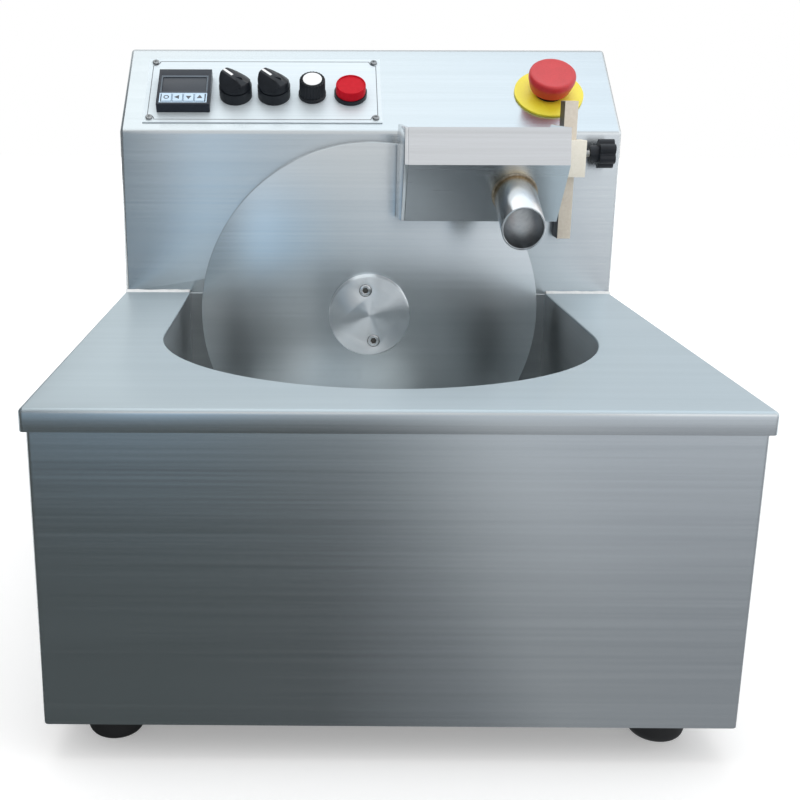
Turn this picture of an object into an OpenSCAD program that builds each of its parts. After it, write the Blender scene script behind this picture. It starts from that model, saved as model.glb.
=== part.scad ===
// Table-top chocolate melting tank: a wheel turns in an open tank in front of a console,
// and a scraper trough with a spout takes the chocolate off the wheel's face.
// X runs to the right seen from the front, the front faces -Y, Z is up, and the feet stand on Z = 0.

/* [Wheel] */
// Diameter of the turning wheel
wheel_d = 288; // [260:1:310]
// Width of the wheel across its rim
wheel_t = 22; // [18:1:30]
// Sheet of the wheel's faces and rim
wheel_skin = 2; // [1.5:0.1:3]
// Depth of the wheel's centre below the deck
wheel_drop = 13; // [8:1:20]
// Gap between the wheel and the tank's rear wall
wheel_gap = 8; // [6:0.5:12]
// Diameter of the sleeve inside the wheel
sleeve_d = 62; // [58:1:72]
// Diameter of the hub cap
hub_d = 69; // [60:1:80]
// Thickness of the hub cap
hub_t = 11; // [10:0.5:14]
// Radius of the circle that the two hub screws lie on
hub_screw_r = 22; // [19:0.5:24]
// Turn of the hub screws from upright
hub_screw_turn = 10; // [0:1:45]

/* [Tank] */
// Gap between the wheel's rim and the tank's side walls
tank_side_gap = 13; // [10:0.5:20]
// Gap between the wheel's rim and the tank's floor
tank_floor_gap = 8; // [6:0.5:15]
// Straight run of the tank behind its round front
tank_tail = 18; // [8:1:30]
// Radius between the tank's wall and floor
tank_fillet = 60; // [30:1:75]
// Thickness of the heater mat
heater_t = 3; // [2:0.5:5]
// Thickness of the insulation pad
insulation_t = 10; // [6:1:16]

/* [Deck and base] */
// Thickness of the body's sheet
sheet = 1.5; // [1.2:0.1:2]
// Deck in front of the tank
deck_front = 48; // [40:1:70]
// Deck on each side of the tank
deck_side = 58; // [48:1:70]
// Height of the deck's folded lip
lip_h = 14; // [10:1:20]
// Gap between the lip and the base wall
lip_gap = 1.5; // [0.5:0.1:3]
// Room between the tank's floor and the underside of the base
under_tank = 37; // [34:1:50]
// Thickness of the base plate
floor_t = 2; // [1.5:0.5:3]
// Width of the flanges that the rear cover is screwed to
flange_w = 14; // [12:1:20]
// Height of the rubber feet
foot_h = 25; // [20:1:32]
// Diameter of the rubber feet
foot_d = 36; // [30:1:44]
// Distance from the base's walls to the middle of each foot
foot_inset = 38; // [30:1:50]
// Width of the white sealant bead on the deck
bead_w = 2; // [1:0.5:3]

/* [Console] */
// Depth of the console
console_d = 120; // [115:1:150]
// Step from the deck's edge in to the console's side
console_inset = 1; // [0.5:0.5:3]
// Height of the console's upright face
face_h = 139; // [125:1:160]
// Length of the sloped panel
slope_len = 108; // [104:1:120]
// Angle of the sloped panel above level
slope_angle = 39.4; // [34:0.2:44]
// Louvre slots in each column of the rear cover
louvre_count = 9; // [4:1:11]
// Length of a louvre slot
louvre_w = 70; // [50:1:80]
// Height of a louvre slot
louvre_h = 4; // [3:0.5:5]
// Distance from one louvre slot to the next
louvre_pitch = 11; // [9:0.5:12]

/* [Control panel] */
// Width of the control plate
plate_w = 206; // [204:1:214]
// Height of the control plate along the slope
plate_h = 84; // [80:1:88]
// Thickness of the control plate
plate_t = 1; // [0.8:0.1:1.5]
// Gap from the console's side to the control plate
plate_inset = 18.5; // [15:0.5:22]
// Distance from the bend up the slope to the control plate
plate_rise = 9.5; // [8:0.5:14]
// Inset of the plate's corner screws
plate_screw_inset = 5.5; // [4.5:0.5:7]
// Distance from the plate's edge to the middle of the controller
controller_at = 34.5; // [32:0.5:36]
// Width of the controller's square bezel
bezel_w = 46; // [44:0.5:48]
// Height of the controller's bezel above the plate
bezel_t = 9; // [7:0.5:12]
// Depth of the controller's case behind the panel
case_depth = 62; // [50:1:68]
// Width of a controller key
key_w = 8.4; // [7:0.1:8.8]
// Height of a controller key
key_h = 9.6; // [8:0.1:10]
// Travel of a controller key
key_travel = 0.5; // [0.3:0.1:0.8]
// Distance from the plate's edge to the first switch
device_at = 79; // [77:0.5:80]
// Distance from one panel device to the next
device_pitch = 33.4; // [32:0.2:34]
// Distance from the bend up the slope to the row of devices
device_rise = 45; // [42:0.5:50]
// Hole of the panel devices
device_hole_d = 22.4; // [22.2:0.1:23]
// Diameter of the switch and lamp collars
collar_d = 28.5; // [27.5:0.5:31]
// Height of the switch collars
collar_t = 10; // [8:0.5:12]
// Height of the lamp's collar
lamp_collar_t = 4; // [3:0.5:6]
// Diameter of a switch's turning lever hub
lever_hub_d = 23; // [21:0.5:24]
// Length of a switch lever
lever_len = 26; // [24:0.5:28]
// Width of a switch lever
lever_w = 8; // [6:0.5:10]
// Height of a switch lever above its collar
lever_h = 9; // [7:0.5:12]
// Turn of a switch lever from upright at rest
lever_turn = 45; // [0:1:60]
// Diameter of the speed knob
knob_d = 24; // [20:0.5:27]
// Height of the speed knob
knob_h = 17; // [14:0.5:20]
// Diameter of the bright cap on the speed knob
knob_cap_d = 16.5; // [14:0.5:18]
// Diameter of the pilot lamp's lens
lens_d = 26; // [24:0.5:27]
// Height of the pilot lamp's lens above its collar
lens_h = 8; // [6:0.5:12]
// Gap from the console's side to the middle of the emergency stop
estop_inset = 57; // [50:1:62]
// Distance from the bend up the slope to the emergency stop
estop_rise = 48; // [44:0.5:54]
// Diameter of the yellow ring
estop_ring_d = 60; // [54:1:64]
// Diameter of the red head
estop_head_d = 40.5; // [38:0.5:44]
// Diameter of the red head's foot
estop_foot_d = 35; // [32:0.5:37]
// Height of the red head
estop_head_h = 16; // [12:0.5:18]
// Travel of the emergency stop
estop_travel = 4; // [3:0.5:5]

/* [Scraper] */
// Distance from the wheel's axis to the blade's inner face
blade_at = 24; // [20:1:32]
// Thickness of the scraper blade
blade_t = 3; // [2:0.5:4]
// Gap between the blade and the wheel's face
blade_gap = 0.5; // [0.3:0.1:1]
// Width of the trough
trough_w = 124; // [118:1:130]
// Depth of the trough in front of the wheel
trough_d = 80; // [70:1:90]
// Height of the trough's top edge above the deck
trough_top = 146; // [138:1:152]
// Height of the trough's upper band
band_h = 28; // [24:1:34]
// Lean of the upper band
band_lean = 5; // [0:0.5:10]
// Drop of the lower face
lower_drop = 45; // [42:1:50]
// Run of the lower face towards the wheel
lower_run = 21; // [16:1:26]
// Lean of the trough's right end below the band
end_lean = 4; // [2:0.5:8]
// Rise of the trough's floor towards the wheel
floor_rise = 7; // [4:0.5:10]
// Gap between the trough's floor and the wheel
floor_gap = 5; // [3:0.5:8]
// Outside diameter of the spout tube
spout_d = 33; // [28:0.5:36]
// Wall of the spout tube
spout_wall = 1.5; // [1:0.1:2]
// Length of the spout tube on its axis
spout_len = 51; // [40:1:60]
// Distance from the blade to the spout's axis
spout_at = 84; // [70:1:95]
// Tilt of the spout's cut mouth
mouth_tilt = 12; // [8:1:20]

/* [Scraper clamp] */
// Width of the post
post_w = 11; // [9:0.5:14]
// Depth of the post
post_d = 18; // [16:0.5:22]
// Distance from the trough's end to the post
post_at = 12.5; // [10:0.5:16]
// Height of the post's foot above the deck
post_foot = 50.5; // [44:0.5:60]
// Length of the post
post_len = 114; // [100:1:120]
// Sliding clearance of the block on the post
slide_gap = 0.3; // [0.2:0.1:0.5]
// Height of the clamp block
block_h = 30; // [26:1:36]
// Height of the clamp block's underside above the deck
block_foot = 103; // [100:1:108]
// Thickness of the block in front of the post
block_web = 10; // [8:0.5:14]
// Thickness of the block's cheek beside the post
block_cheek = 6.5; // [5:0.5:9]
// Gap between the block's back and the console
block_back = 5; // [4:0.5:7]
// Diameter of the clamp stud
stud_d = 6; // [5:0.5:8]
// Bare length of the stud between block and knob
stud_bare = 6; // [5:0.5:12]
// Diameter of the star knob's lobed head
star_d = 24; // [20:0.5:28]
// Thickness of the star knob's head
star_t = 13; // [10:0.5:16]
// Diameter of the star knob's neck
star_neck_d = 13.5; // [12:0.5:16]
// Length of the star knob's neck
star_neck = 7; // [5:0.5:9]
// Gap between the star knob and the console
star_gap = 1; // [0.5:0.5:1.5]
// Lobes on the star knob
star_lobes = 6; // [5:1:8]
// Length of the soft tip on the stud
pad_t = 3; // [2:0.5:4]

/* [Drive] */
// Diameter of the wheel shaft
shaft_d = 20; // [18:0.5:22]
// Length of the wheel shaft behind the wheel
shaft_tail = 57; // [54:1:60]
// Outside diameter of the shaft seal
seal_d = 35; // [32:0.5:36]
// Thickness of the shaft seal
seal_t = 7; // [6:0.5:8]
// Outside diameter of the shaft bearing
bearing_d = 42; // [40:0.5:44]
// Thickness of the shaft bearing
bearing_t = 12; // [10:0.5:13]
// Diameter of the bearing housing's flange, which is welded to the tank
housing_d = 84; // [74:1:96]
// Thickness of the bearing housing's flange
housing_t = 10; // [9:0.5:12]
// Length of the bearing housing
housing_len = 30; // [27:0.5:31]
// Diameter of the shaft coupling
coupling_d = 34; // [30:0.5:38]
// Diameter of the gearbox shaft
gear_shaft_d = 15; // [12:0.5:16]
// Depth of the gearbox
gearbox_d = 48; // [46:0.5:49]
// Width of the gearbox
gearbox_w = 70; // [60:1:76]
// Drop from the wheel shaft to the motor's axis
motor_drop = 32; // [30:1:36]
// Diameter of the drive motor
motor_d = 56; // [48:0.5:56]
// Length of the drive motor
motor_len = 118; // [90:1:130]
// Thickness of the motor bracket
bracket_t = 3; // [2:0.5:4]
// Diameter of the temperature probe
probe_d = 6; // [5:0.5:8]
// Reach of the temperature probe into the tank
probe_reach = 15; // [10:1:20]
// Width of the motor driver
driver_w = 100; // [80:1:110]
// Height of the motor driver
driver_h = 44; // [30:1:60]
// Outside diameter of the power gland
gland_d = 24; // [20:0.5:28]
// Length of the power gland behind the cover
gland_len = 18; // [14:0.5:24]
// Bore of the power gland
gland_bore_d = 9; // [8:0.5:11]

/* [Hidden] */
$fn = 64;

// Clearances shared by all fits
fit_gap = 0.05;
bolt_gap = 0.1;
part_gap = 0.3;
shaft_clear = 1;

// Reach of a drill on each side of a face, and how far a cut runs past a face
drill_reach = 10;
over = 1;

// Plan of the body
wheel_r = wheel_d / 2;
tank_r = wheel_r + tank_side_gap;
tank_depth = wheel_drop + wheel_r + tank_floor_gap;
deck_w = 2 * (tank_r + deck_side);
console_set = deck_front + 2 * tank_r + tank_tail;
body_d = console_set + console_d;
front_y = -(body_d + gland_len) / 2;
console_y = front_y + console_set;
rear_y = front_y + body_d;
cover_y = rear_y - sheet;
tank_y = front_y + deck_front + tank_r;
wall_x = deck_w / 2 - sheet - lip_gap;
wall_y = front_y + sheet + lip_gap;
console_x = deck_w / 2 - console_inset;

// Heights
deck_z = foot_h + under_tank + tank_depth;
tank_floor_z = deck_z - tank_depth;
bend_z = deck_z + face_h;
top_z = bend_z + slope_len * sin(slope_angle);
slope_top_y = console_y + slope_len * cos(slope_angle);
base_top_z = foot_h + floor_t;

// Cable duct in the deck under the console, and the louvres
duct_side = 25;
duct_front = 12;
duct_back = 7;
louvre_foot = 60;

// Wheel and drive
axis_z = deck_z - wheel_drop;
wheel_back_y = console_y - wheel_gap;
wheel_front_y = wheel_back_y - wheel_t;
wall_back_y = console_y + sheet;
shaft_front_y = wheel_front_y + wheel_skin / 2;
shaft_end_y = wheel_back_y + shaft_tail;
collar_len = wheel_gap / 2;
shaft_step = 3;
housing_wall = 7;
race_w = 3;
race_sink = 1;
gearbox_wall = 3;
motor_step = 2;
motor_band = 10;
motor_cap = 12;
bracket_clear = 4;
hub_bolt_d = 6;
hub_bolt_head_d = 10;
hub_bolt_len = 14;
hub_bolt_sink = 0.5;
hub_round = 1.5;
coupling_gap = 2;
housing_end_y = wall_back_y + housing_len;
coupling_y = housing_end_y + coupling_gap;
coupling_end_y = shaft_end_y + gear_shaft_d / 2;
bracket_y = coupling_end_y + coupling_gap;
gearbox_y = bracket_y + bracket_t;
gear_shaft_len = gearbox_d * 0.7;
motor_y = gearbox_y + gearbox_d / 2;
motor_z = axis_z - motor_drop;
bracket_left = gearbox_w / 2 + 5;
bracket_right = gearbox_w / 2 - 2;
bracket_top_z = axis_z + gearbox_w / 2;
probe_x = -(tank_r - tank_fillet) - 10;
probe_z = tank_floor_z + tank_fillet / 2;
probe_nut_d = 14;
probe_tail = 20;
pad_clear = 10;
probe_nut_t = 6;

// Panel places
plate_left_x = plate_inset - console_x;
plate_mid_x = plate_left_x + plate_w / 2;
plate_mid_t = plate_rise + plate_h / 2;
controller_x = plate_left_x + controller_at;
switch_x = [for (i = [0:1]) plate_left_x + device_at + i * device_pitch];
speed_x = plate_left_x + device_at + 2 * device_pitch;
lamp_x = plate_left_x + device_at + 3 * device_pitch;
estop_x = console_x - estop_inset;
case_step = 2;
case_w = bezel_w - 2 * case_step;
key_count = 4;
key_space = 1.2;
key_margin = 3.5;
key_pitch = key_w + key_space;
key_row = -bezel_w / 2 + key_h / 2 + key_margin;
key_proud = 0.8;
key_well = 2;
window_margin = 4;
window_head = 10.9;
window_foot = 3;
window_gap = 0.1;
window_w = bezel_w - 2 * window_margin;
window_h = bezel_w - key_margin - key_h - window_foot - window_head;
window_t = 1;
window_mid = key_row + key_h / 2 + window_foot + window_h / 2;
pot_hole_d = 10;
pot_shaft_d = 6;
knob_cap_t = 1.2;
knob_cap_sink = 0.8;
knob_cap_round = 0.3;
knob_skirt = 3;
knob_rim = 2;
knob_step = 1;
knob_nut_clear = 2;
pot_d = 17;
pot_t = 16;
nut_t = 3;
device_nut_d = collar_d + 1;
lens_round = 1.5;
contact_w = 26;
contact_depth = 30;
plate_screw_d = 3;
plate_screw_len = 6;
estop_ring_t = 2;
estop_collar_t = 1;
estop_collar_d = 25;
estop_stem_d = 12;
estop_stem_in = 4;
estop_round = 2;
estop_lift = estop_ring_t + estop_collar_t + estop_travel + part_gap;
estop_taper_h = 0.6 * estop_head_h;

// Scraper places
blade_y = wheel_front_y - blade_gap;
trough_front_y = wheel_front_y - trough_d;
trough_top_z = deck_z + trough_top;
band_foot_z = trough_top_z - band_h;
lower_foot_z = band_foot_z - lower_drop;
lower_foot_y = trough_front_y + lower_run;
spout_tilt = atan(lower_run / lower_drop);
trough_left_x = blade_at;
trough_right_x = blade_at + trough_w;
floor_back_y = wheel_front_y - floor_gap;
blade_corner = 6;
spout_x = blade_at + spout_at;
post_x = trough_right_x + post_at;
post_front_y = console_y - post_d;
block_y = post_front_y - slide_gap - block_web;
block_end_y = console_y - block_back;
block_z = deck_z + block_foot;
block_right_x = post_x + post_w + slide_gap + block_cheek;
stud_y = console_y - star_d / 2 - star_gap;
stud_z = block_z + block_h * 0.62;
pad_x = post_x + post_w + fit_gap;
stud_x = pad_x + pad_t;
star_x = block_right_x + stud_bare;
pad_step = 0.4;
block_screw_d = 4;
block_screw_in = 6;
block_screw_drop = 7;
block_screw_len = 8;
block_screw_y = [block_y + block_screw_in, block_end_y - block_screw_in];
block_screw_z = block_z + block_h - block_screw_drop;
post_screw_d = 5;
post_screw_rise = 15;
post_screw_z = [deck_z + post_foot + post_screw_rise, deck_z + block_foot];

// Fasteners and feet
cover_screw_d = 4;
cover_screw_len = 8;
cover_screw_end = 20;
cover_screw_x = wall_x - flange_w / 2;
cover_screw_z = [
    foot_h + cover_screw_end, (foot_h + deck_z) / 2, deck_z - cover_screw_end,
    deck_z + cover_screw_end, (deck_z + top_z) / 2, top_z - cover_screw_end
];
foot_x = wall_x - foot_inset;
foot_y = [wall_y + foot_inset, cover_y - foot_inset];
foot_bolt_d = 6;
foot_bolt_head_d = 12;
foot_bolt_head_t = 4;
foot_recess = 8;
foot_round = 7;
gland_in = 60;
gland_rise = 45;
gland_nut_t = 6;
gland_thread_in = 10;
gland_crown = 4;
gland_round = 3;
gland_x = wall_x - gland_in;
gland_z = foot_h + gland_rise;
gland_thread_d = gland_d - 6;
driver_x = -foot_x + foot_bolt_head_d;
driver_back = 20;
driver_y = wall_back_y + driver_back;
driver_d = 60;
fin_h = 12;
fin_t = 4;
fin_count = 7;

steel = "silver";
bright = "gainsboro";
black = [0.08, 0.08, 0.09];
dark = "dimgray";
beige = [0.84, 0.77, 0.68];

// Outline of a bent sheet: a path of outer points, thickened to its left with mitred bends
function unit(v) = v / norm(v);
function left_of(v) = [-v[1], v[0]];
function run_normal(p, i) = left_of(unit(p[i + 1] - p[i]));
function mitre(p, i) =
    let (a = run_normal(p, max(i - 1, 0)), b = run_normal(p, min(i, len(p) - 2)))
    (a + b) / (1 + a * b);
function bent_sheet(p, t) = concat(p, [for (i = [len(p) - 1:-1:0]) p[i] + t * mitre(p, i)]);

// A profile drawn in (Y, Z) and run along X
module along_x(x, length) translate([x, 0, 0]) rotate([90, 0, 90]) linear_extrude(length) children();

// Children turned so that their Z runs along +Y, or along +X
module facing_y(x, y, z) translate([x, y, z]) rotate([-90, 0, 0]) children();
module facing_x(x, y, z) translate([x, y, z]) rotate([0, 90, 0]) children();

// Children on the sloped panel: local Z stands off the panel, local Y runs up the slope
module on_slope(x, t)
    translate([x, console_y + t * cos(slope_angle), bend_z + t * sin(slope_angle)])
        rotate([slope_angle, 0, 0]) children();

module ring(d, bore, length) difference() {
    cylinder(d = d, h = length);
    translate([0, 0, -over]) cylinder(d = bore, h = length + 2 * over);
}

// A drill that passes through a face at Z = 0
module drill(d) translate([0, 0, -drill_reach]) cylinder(d = d, h = 2 * drill_reach);

// A turned disc with a rounded upper edge
module domed(d, h, edge) rotate_extrude() {
    square([d / 2 - edge, h]);
    square([d / 2, h - edge]);
    translate([d / 2 - edge, h - edge]) circle(edge);
}

// A socket screw: the head stands on Z = 0 and the shank runs down
module socket_screw(d, head_d, head_t, length) difference() {
    union() {
        cylinder(d = head_d, h = head_t);
        translate([0, 0, -length]) cylinder(d = d, h = length + head_t / 2);
    }
    translate([0, 0, head_t / 2]) cylinder(d = head_d / 2, h = head_t, $fn = 6);
}

// A round-headed screw with a cross slot
module pan_screw(d, length) difference() {
    union() {
        domed(2 * d, 0.6 * d, 0.28 * d);
        translate([0, 0, -length]) cylinder(d = d, h = length);
    }
    for (a = [0, 90]) rotate([0, 0, a])
        translate([-0.6 * d, -0.12 * d, 0.3 * d]) cube([1.2 * d, 0.24 * d, d]);
}

module cover_screw_places() for (x = [-1, 1], z = cover_screw_z)
    translate([x * cover_screw_x, rear_y, z]) rotate([-90, 0, 0]) children();

module foot_places() for (x = [-1, 1], y = foot_y) translate([x * foot_x, y, 0]) children();

// Body

module base_wrap() color(steel) {
    path = [
        [-wall_x + flange_w, cover_y], [-wall_x, cover_y], [-wall_x, wall_y],
        [wall_x, wall_y], [wall_x, cover_y], [wall_x - flange_w, cover_y]
    ];
    difference() {
        translate([0, 0, foot_h]) linear_extrude(deck_z - sheet - foot_h) polygon(bent_sheet(path, sheet));
        cover_screw_places() drill(cover_screw_d + 2 * bolt_gap);
    }
}

module base_plate() color(steel) difference() {
    translate([-wall_x + sheet, wall_y + sheet, foot_h])
        cube([2 * (wall_x - sheet), cover_y - wall_y - 2 * sheet, floor_t]);
    foot_places() cylinder(d = foot_bolt_d + 2 * bolt_gap, h = 2 * base_top_z);
}

module louvre_slots() for (side = [-1, 1], i = [0:louvre_count - 1])
    translate([side * louvre_w * 0.75, cover_y - over, foot_h + louvre_foot + i * louvre_pitch]) {
        translate([-louvre_w / 2, 0, -louvre_h / 2]) cube([louvre_w, sheet + 2 * over, louvre_h]);
        for (end = [-1, 1]) facing_y(end * louvre_w / 2, 0, 0) cylinder(d = louvre_h, h = sheet + 2 * over);
    }

module rear_cover() color(steel) difference() {
    translate([-wall_x, cover_y, foot_h]) cube([2 * wall_x, sheet, top_z - sheet - foot_h]);
    louvre_slots();
    cover_screw_places() drill(cover_screw_d + 2 * bolt_gap);
    facing_y(gland_x, cover_y, gland_z) drill(gland_thread_d + 2 * bolt_gap);
}

module cover_screws() color(bright) cover_screw_places() pan_screw(cover_screw_d, cover_screw_len);

// Plan of the tank: a round front with a straight tail up to the console
module tank_plan(r) {
    translate([0, tank_y]) circle(r);
    translate([-r, tank_y]) square([2 * r, console_y - tank_y]);
}

module deck() color(steel) {
    depth = cover_y - front_y;
    difference() {
        translate([-deck_w / 2, front_y, deck_z - sheet]) cube([deck_w, depth, sheet]);
        translate([0, 0, deck_z - 2 * sheet]) linear_extrude(3 * sheet) tank_plan(tank_r);
        translate([-wall_x + duct_side, console_y + duct_front, deck_z - 2 * sheet])
            cube([2 * (wall_x - duct_side), console_d - duct_front - duct_back, 3 * sheet]);
        translate([-housing_d / 2 - shaft_clear, wall_back_y, deck_z - 2 * sheet])
            cube([housing_d + 2 * shaft_clear, duct_front, 3 * sheet]);
    }
    translate([-deck_w / 2, front_y, deck_z - lip_h]) cube([deck_w, sheet, lip_h - sheet]);
    for (x = [-deck_w / 2, deck_w / 2 - sheet])
        translate([x, front_y, deck_z - lip_h]) cube([sheet, depth, lip_h - sheet]);
}

module deck_sealant() color("white") for (x = [-console_x, tank_r])
    along_x(x, console_x - tank_r)
        polygon([[console_y, deck_z], [console_y - bead_w, deck_z], [console_y, deck_z + bead_w]]);

// Solid of the tank's space: a turned front and a straight tail, with a rounded floor edge
module tank_half(r, floor_z, fillet) {
    translate([0, floor_z]) square([r - fillet, deck_z - floor_z]);
    translate([0, floor_z + fillet]) square([r, deck_z - floor_z - fillet]);
    translate([r - fillet, floor_z + fillet]) circle(fillet);
}
module tank_form(r, floor_z, fillet, end_y) {
    translate([0, tank_y, 0]) rotate_extrude() tank_half(r, floor_z, fillet);
    translate([0, end_y, 0]) rotate([90, 0, 0]) linear_extrude(end_y - tank_y) {
        tank_half(r, floor_z, fillet);
        mirror([1, 0]) tank_half(r, floor_z, fillet);
    }
}

module tank() color(steel) difference() {
    tank_form(tank_r + sheet, tank_floor_z - sheet, tank_fillet + sheet, wall_back_y);
    tank_form(tank_r, tank_floor_z, tank_fillet, console_y);
    translate([-deck_w, front_y, deck_z - sheet]) cube([2 * deck_w, body_d, 2 * sheet]);
    facing_y(0, console_y, axis_z) drill(shaft_d + 2 * shaft_clear);
    facing_y(probe_x, console_y, probe_z) drill(probe_d + 2 * bolt_gap);
}

// Holes in the sloped panel and the control plate
module panel_holes() {
    on_slope(controller_x, device_rise)
        translate([0, 0, -drill_reach]) linear_extrude(2 * drill_reach)
            square(case_w + 2 * part_gap, center = true);
    for (x = [switch_x[0], switch_x[1], lamp_x])
        on_slope(x, device_rise) drill(device_hole_d);
    on_slope(speed_x, device_rise) drill(pot_hole_d + 2 * part_gap);
    on_slope(estop_x, estop_rise) drill(device_hole_d);
    plate_screw_places() drill(plate_screw_d + 2 * bolt_gap);
}

module console_shell() color(steel) difference() {
    union() {
        side = [
            [console_y, deck_z], [console_y, bend_z], [slope_top_y, top_z], [rear_y, top_z],
            [rear_y, deck_z]
        ];
        path = [[rear_y, top_z], [slope_top_y, top_z], [console_y, bend_z], [console_y, deck_z]];
        along_x(-console_x, 2 * console_x) polygon(bent_sheet(path, sheet));
        for (x = [-console_x, console_x - sheet]) along_x(x, sheet) polygon(side);
        for (x = [-console_x + sheet, console_x - sheet - flange_w])
            translate([x, cover_y - sheet, deck_z]) cube([flange_w, sheet, top_z - deck_z - sheet]);
    }
    panel_holes();
    cover_screw_places() drill(cover_screw_d + 2 * bolt_gap);
    for (z = post_screw_z)
        facing_y(post_x + post_w / 2, console_y, z) drill(post_screw_d + 2 * bolt_gap);
}

module rubber_feet() color(black) foot_places() difference() {
    translate([0, 0, foot_h]) mirror([0, 0, 1]) domed(foot_d, foot_h, foot_round);
    translate([0, 0, -over]) cylinder(d = foot_bolt_d + 2 * bolt_gap, h = foot_h + 2 * over);
    translate([0, 0, -over])
        cylinder(d = foot_bolt_head_d + 2 * part_gap, h = foot_recess + foot_bolt_head_t + over);
}

module foot_screws() color(bright) foot_places() {
    translate([0, 0, foot_recess + foot_bolt_head_t]) mirror([0, 0, 1])
        socket_screw(foot_bolt_d, foot_bolt_head_d, foot_bolt_head_t, base_top_z - foot_recess);
    translate([0, 0, base_top_z]) difference() {
        cylinder(d = foot_bolt_head_d, h = foot_bolt_head_t, $fn = 6);
        translate([0, 0, -over]) cylinder(d = foot_bolt_d + 2 * fit_gap, h = foot_bolt_head_t + 2 * over);
    }
}

// Wheel and drive

module hub_bolt_places() for (side = [0, 180])
    facing_y(0, wheel_front_y, axis_z) rotate([0, 0, side - hub_screw_turn])
        translate([0, hub_screw_r, 0]) children();

module wheel_drum() color(bright) difference() {
    facing_y(0, wheel_front_y, axis_z) difference() {
        cylinder(r = wheel_r, h = wheel_t - wheel_skin);
        translate([0, 0, wheel_skin]) ring(wheel_d - 2 * wheel_skin, sleeve_d, wheel_t);
        translate([0, 0, -over]) cylinder(d = shaft_d + 2 * fit_gap, h = wheel_t + 2 * over);
    }
    hub_bolt_places() translate([0, 0, -over])
        cylinder(d = hub_bolt_d + 2 * bolt_gap, h = hub_bolt_len + 2 * over);
}

module wheel_back_plate() color(bright) facing_y(0, wheel_back_y - wheel_skin, axis_z)
    ring(wheel_d, shaft_d + 2 * fit_gap, wheel_skin);

module hub_cap() color(bright) difference() {
    facing_y(0, wheel_front_y, axis_z) mirror([0, 0, 1]) domed(hub_d, hub_t, hub_round);
    hub_bolt_places() {
        translate([0, 0, -hub_t - over]) cylinder(d = hub_bolt_d + 2 * bolt_gap, h = hub_t + 2 * over);
        translate([0, 0, -hub_t - over]) cylinder(d = hub_bolt_head_d + 2 * part_gap, h = hub_bolt_d + over);
    }
}

module hub_screws() color(steel) hub_bolt_places()
    translate([0, 0, hub_bolt_d - hub_t]) mirror([0, 0, 1])
        socket_screw(hub_bolt_d, hub_bolt_head_d, hub_bolt_d - hub_bolt_sink,
                     hub_t - hub_bolt_d + hub_bolt_len);

module wheel_shaft() color(bright) {
    facing_y(0, shaft_front_y, axis_z) cylinder(d = shaft_d, h = shaft_end_y - shaft_front_y);
    facing_y(0, wheel_back_y, axis_z) cylinder(d = shaft_d + 2 * shaft_step, h = collar_len);
}

module shaft_seal() color(black) facing_y(0, wall_back_y, axis_z) ring(seal_d, shaft_d + 2 * fit_gap, seal_t);

module bearing_housing() color(dark) difference() {
    union() {
        facing_y(0, wall_back_y, axis_z) cylinder(d = housing_d, h = housing_t);
        facing_y(0, wall_back_y, axis_z) cylinder(d = bearing_d + 2 * housing_wall, h = housing_len);
    }
    facing_y(0, wall_back_y - over, axis_z) {
        cylinder(d = shaft_d + 4 * shaft_clear, h = housing_len + 2 * over);
        cylinder(d = seal_d + 2 * fit_gap, h = seal_t + over);
        translate([0, 0, housing_len + over - bearing_t])
            cylinder(d = bearing_d + 2 * fit_gap, h = bearing_t + over);
    }
}

module shaft_bearing() color("gray") facing_y(0, housing_end_y - bearing_t, axis_z) difference() {
    ring(bearing_d, shaft_d + 2 * fit_gap, bearing_t);
    for (z = [-race_sink, bearing_t - race_sink]) translate([0, 0, z])
        ring(bearing_d - 2 * race_w, shaft_d + 2 * race_w, 2 * race_sink);
}

module shaft_coupling() color(dark) facing_y(0, coupling_y, axis_z) difference() {
    cylinder(d = coupling_d, h = coupling_end_y - coupling_y);
    translate([0, 0, -over])
        cylinder(d = gear_shaft_d + 2 * fit_gap, h = coupling_end_y - coupling_y + 2 * over);
    translate([0, 0, -over]) cylinder(d = shaft_d + 2 * fit_gap, h = shaft_end_y - coupling_y + over);
}

module gearbox() color("slategray") difference() {
    translate([0, gearbox_y, 0]) union() {
        facing_y(0, 0, axis_z) cylinder(d = gearbox_w, h = gearbox_d);
        translate([-gearbox_w / 2, 0, motor_z - motor_d / 2 - gearbox_wall])
            cube([gearbox_w, gearbox_d, motor_drop + motor_d / 2 + gearbox_wall]);
    }
    facing_y(0, gearbox_y - over, axis_z)
        cylinder(d = gear_shaft_d + 2 * fit_gap, h = gear_shaft_len + 2 * over);
}

module gearbox_shaft() color(bright) facing_y(0, shaft_end_y + 1, axis_z)
    cylinder(d = gear_shaft_d, h = gearbox_y + gear_shaft_len - shaft_end_y - 1);

module drive_motor() color("darkslategray") facing_x(gearbox_w / 2, motor_y, motor_z) {
    cylinder(d = motor_d - 2 * motor_step, h = motor_len);
    cylinder(d = motor_d - motor_band, h = motor_len + motor_cap);
    for (z = [0, motor_len - motor_band]) translate([0, 0, z]) cylinder(d = motor_d, h = motor_band);
}

module motor_bracket() color(steel) difference() {
    union() {
        translate([-bracket_left, bracket_y, base_top_z])
            cube([bracket_left + bracket_right, bracket_t, bracket_top_z - base_top_z]);
        translate([-bracket_left, bracket_y, base_top_z])
            cube([bracket_left + bracket_right, gearbox_d, bracket_t]);
    }
    facing_y(0, bracket_y, axis_z) drill(gear_shaft_d + 2 * bracket_clear);
}

// The mat and pad cover the flat of the tank's floor
module floor_pad(top, t) translate([0, 0, top - t]) linear_extrude(t) {
    translate([0, tank_y]) circle(tank_r - tank_fillet);
    translate([-(tank_r - tank_fillet), tank_y])
        square([2 * (tank_r - tank_fillet), console_y - tank_y - pad_clear]);
}

module heater_mat() color("orangered") floor_pad(tank_floor_z - sheet, heater_t);

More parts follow.
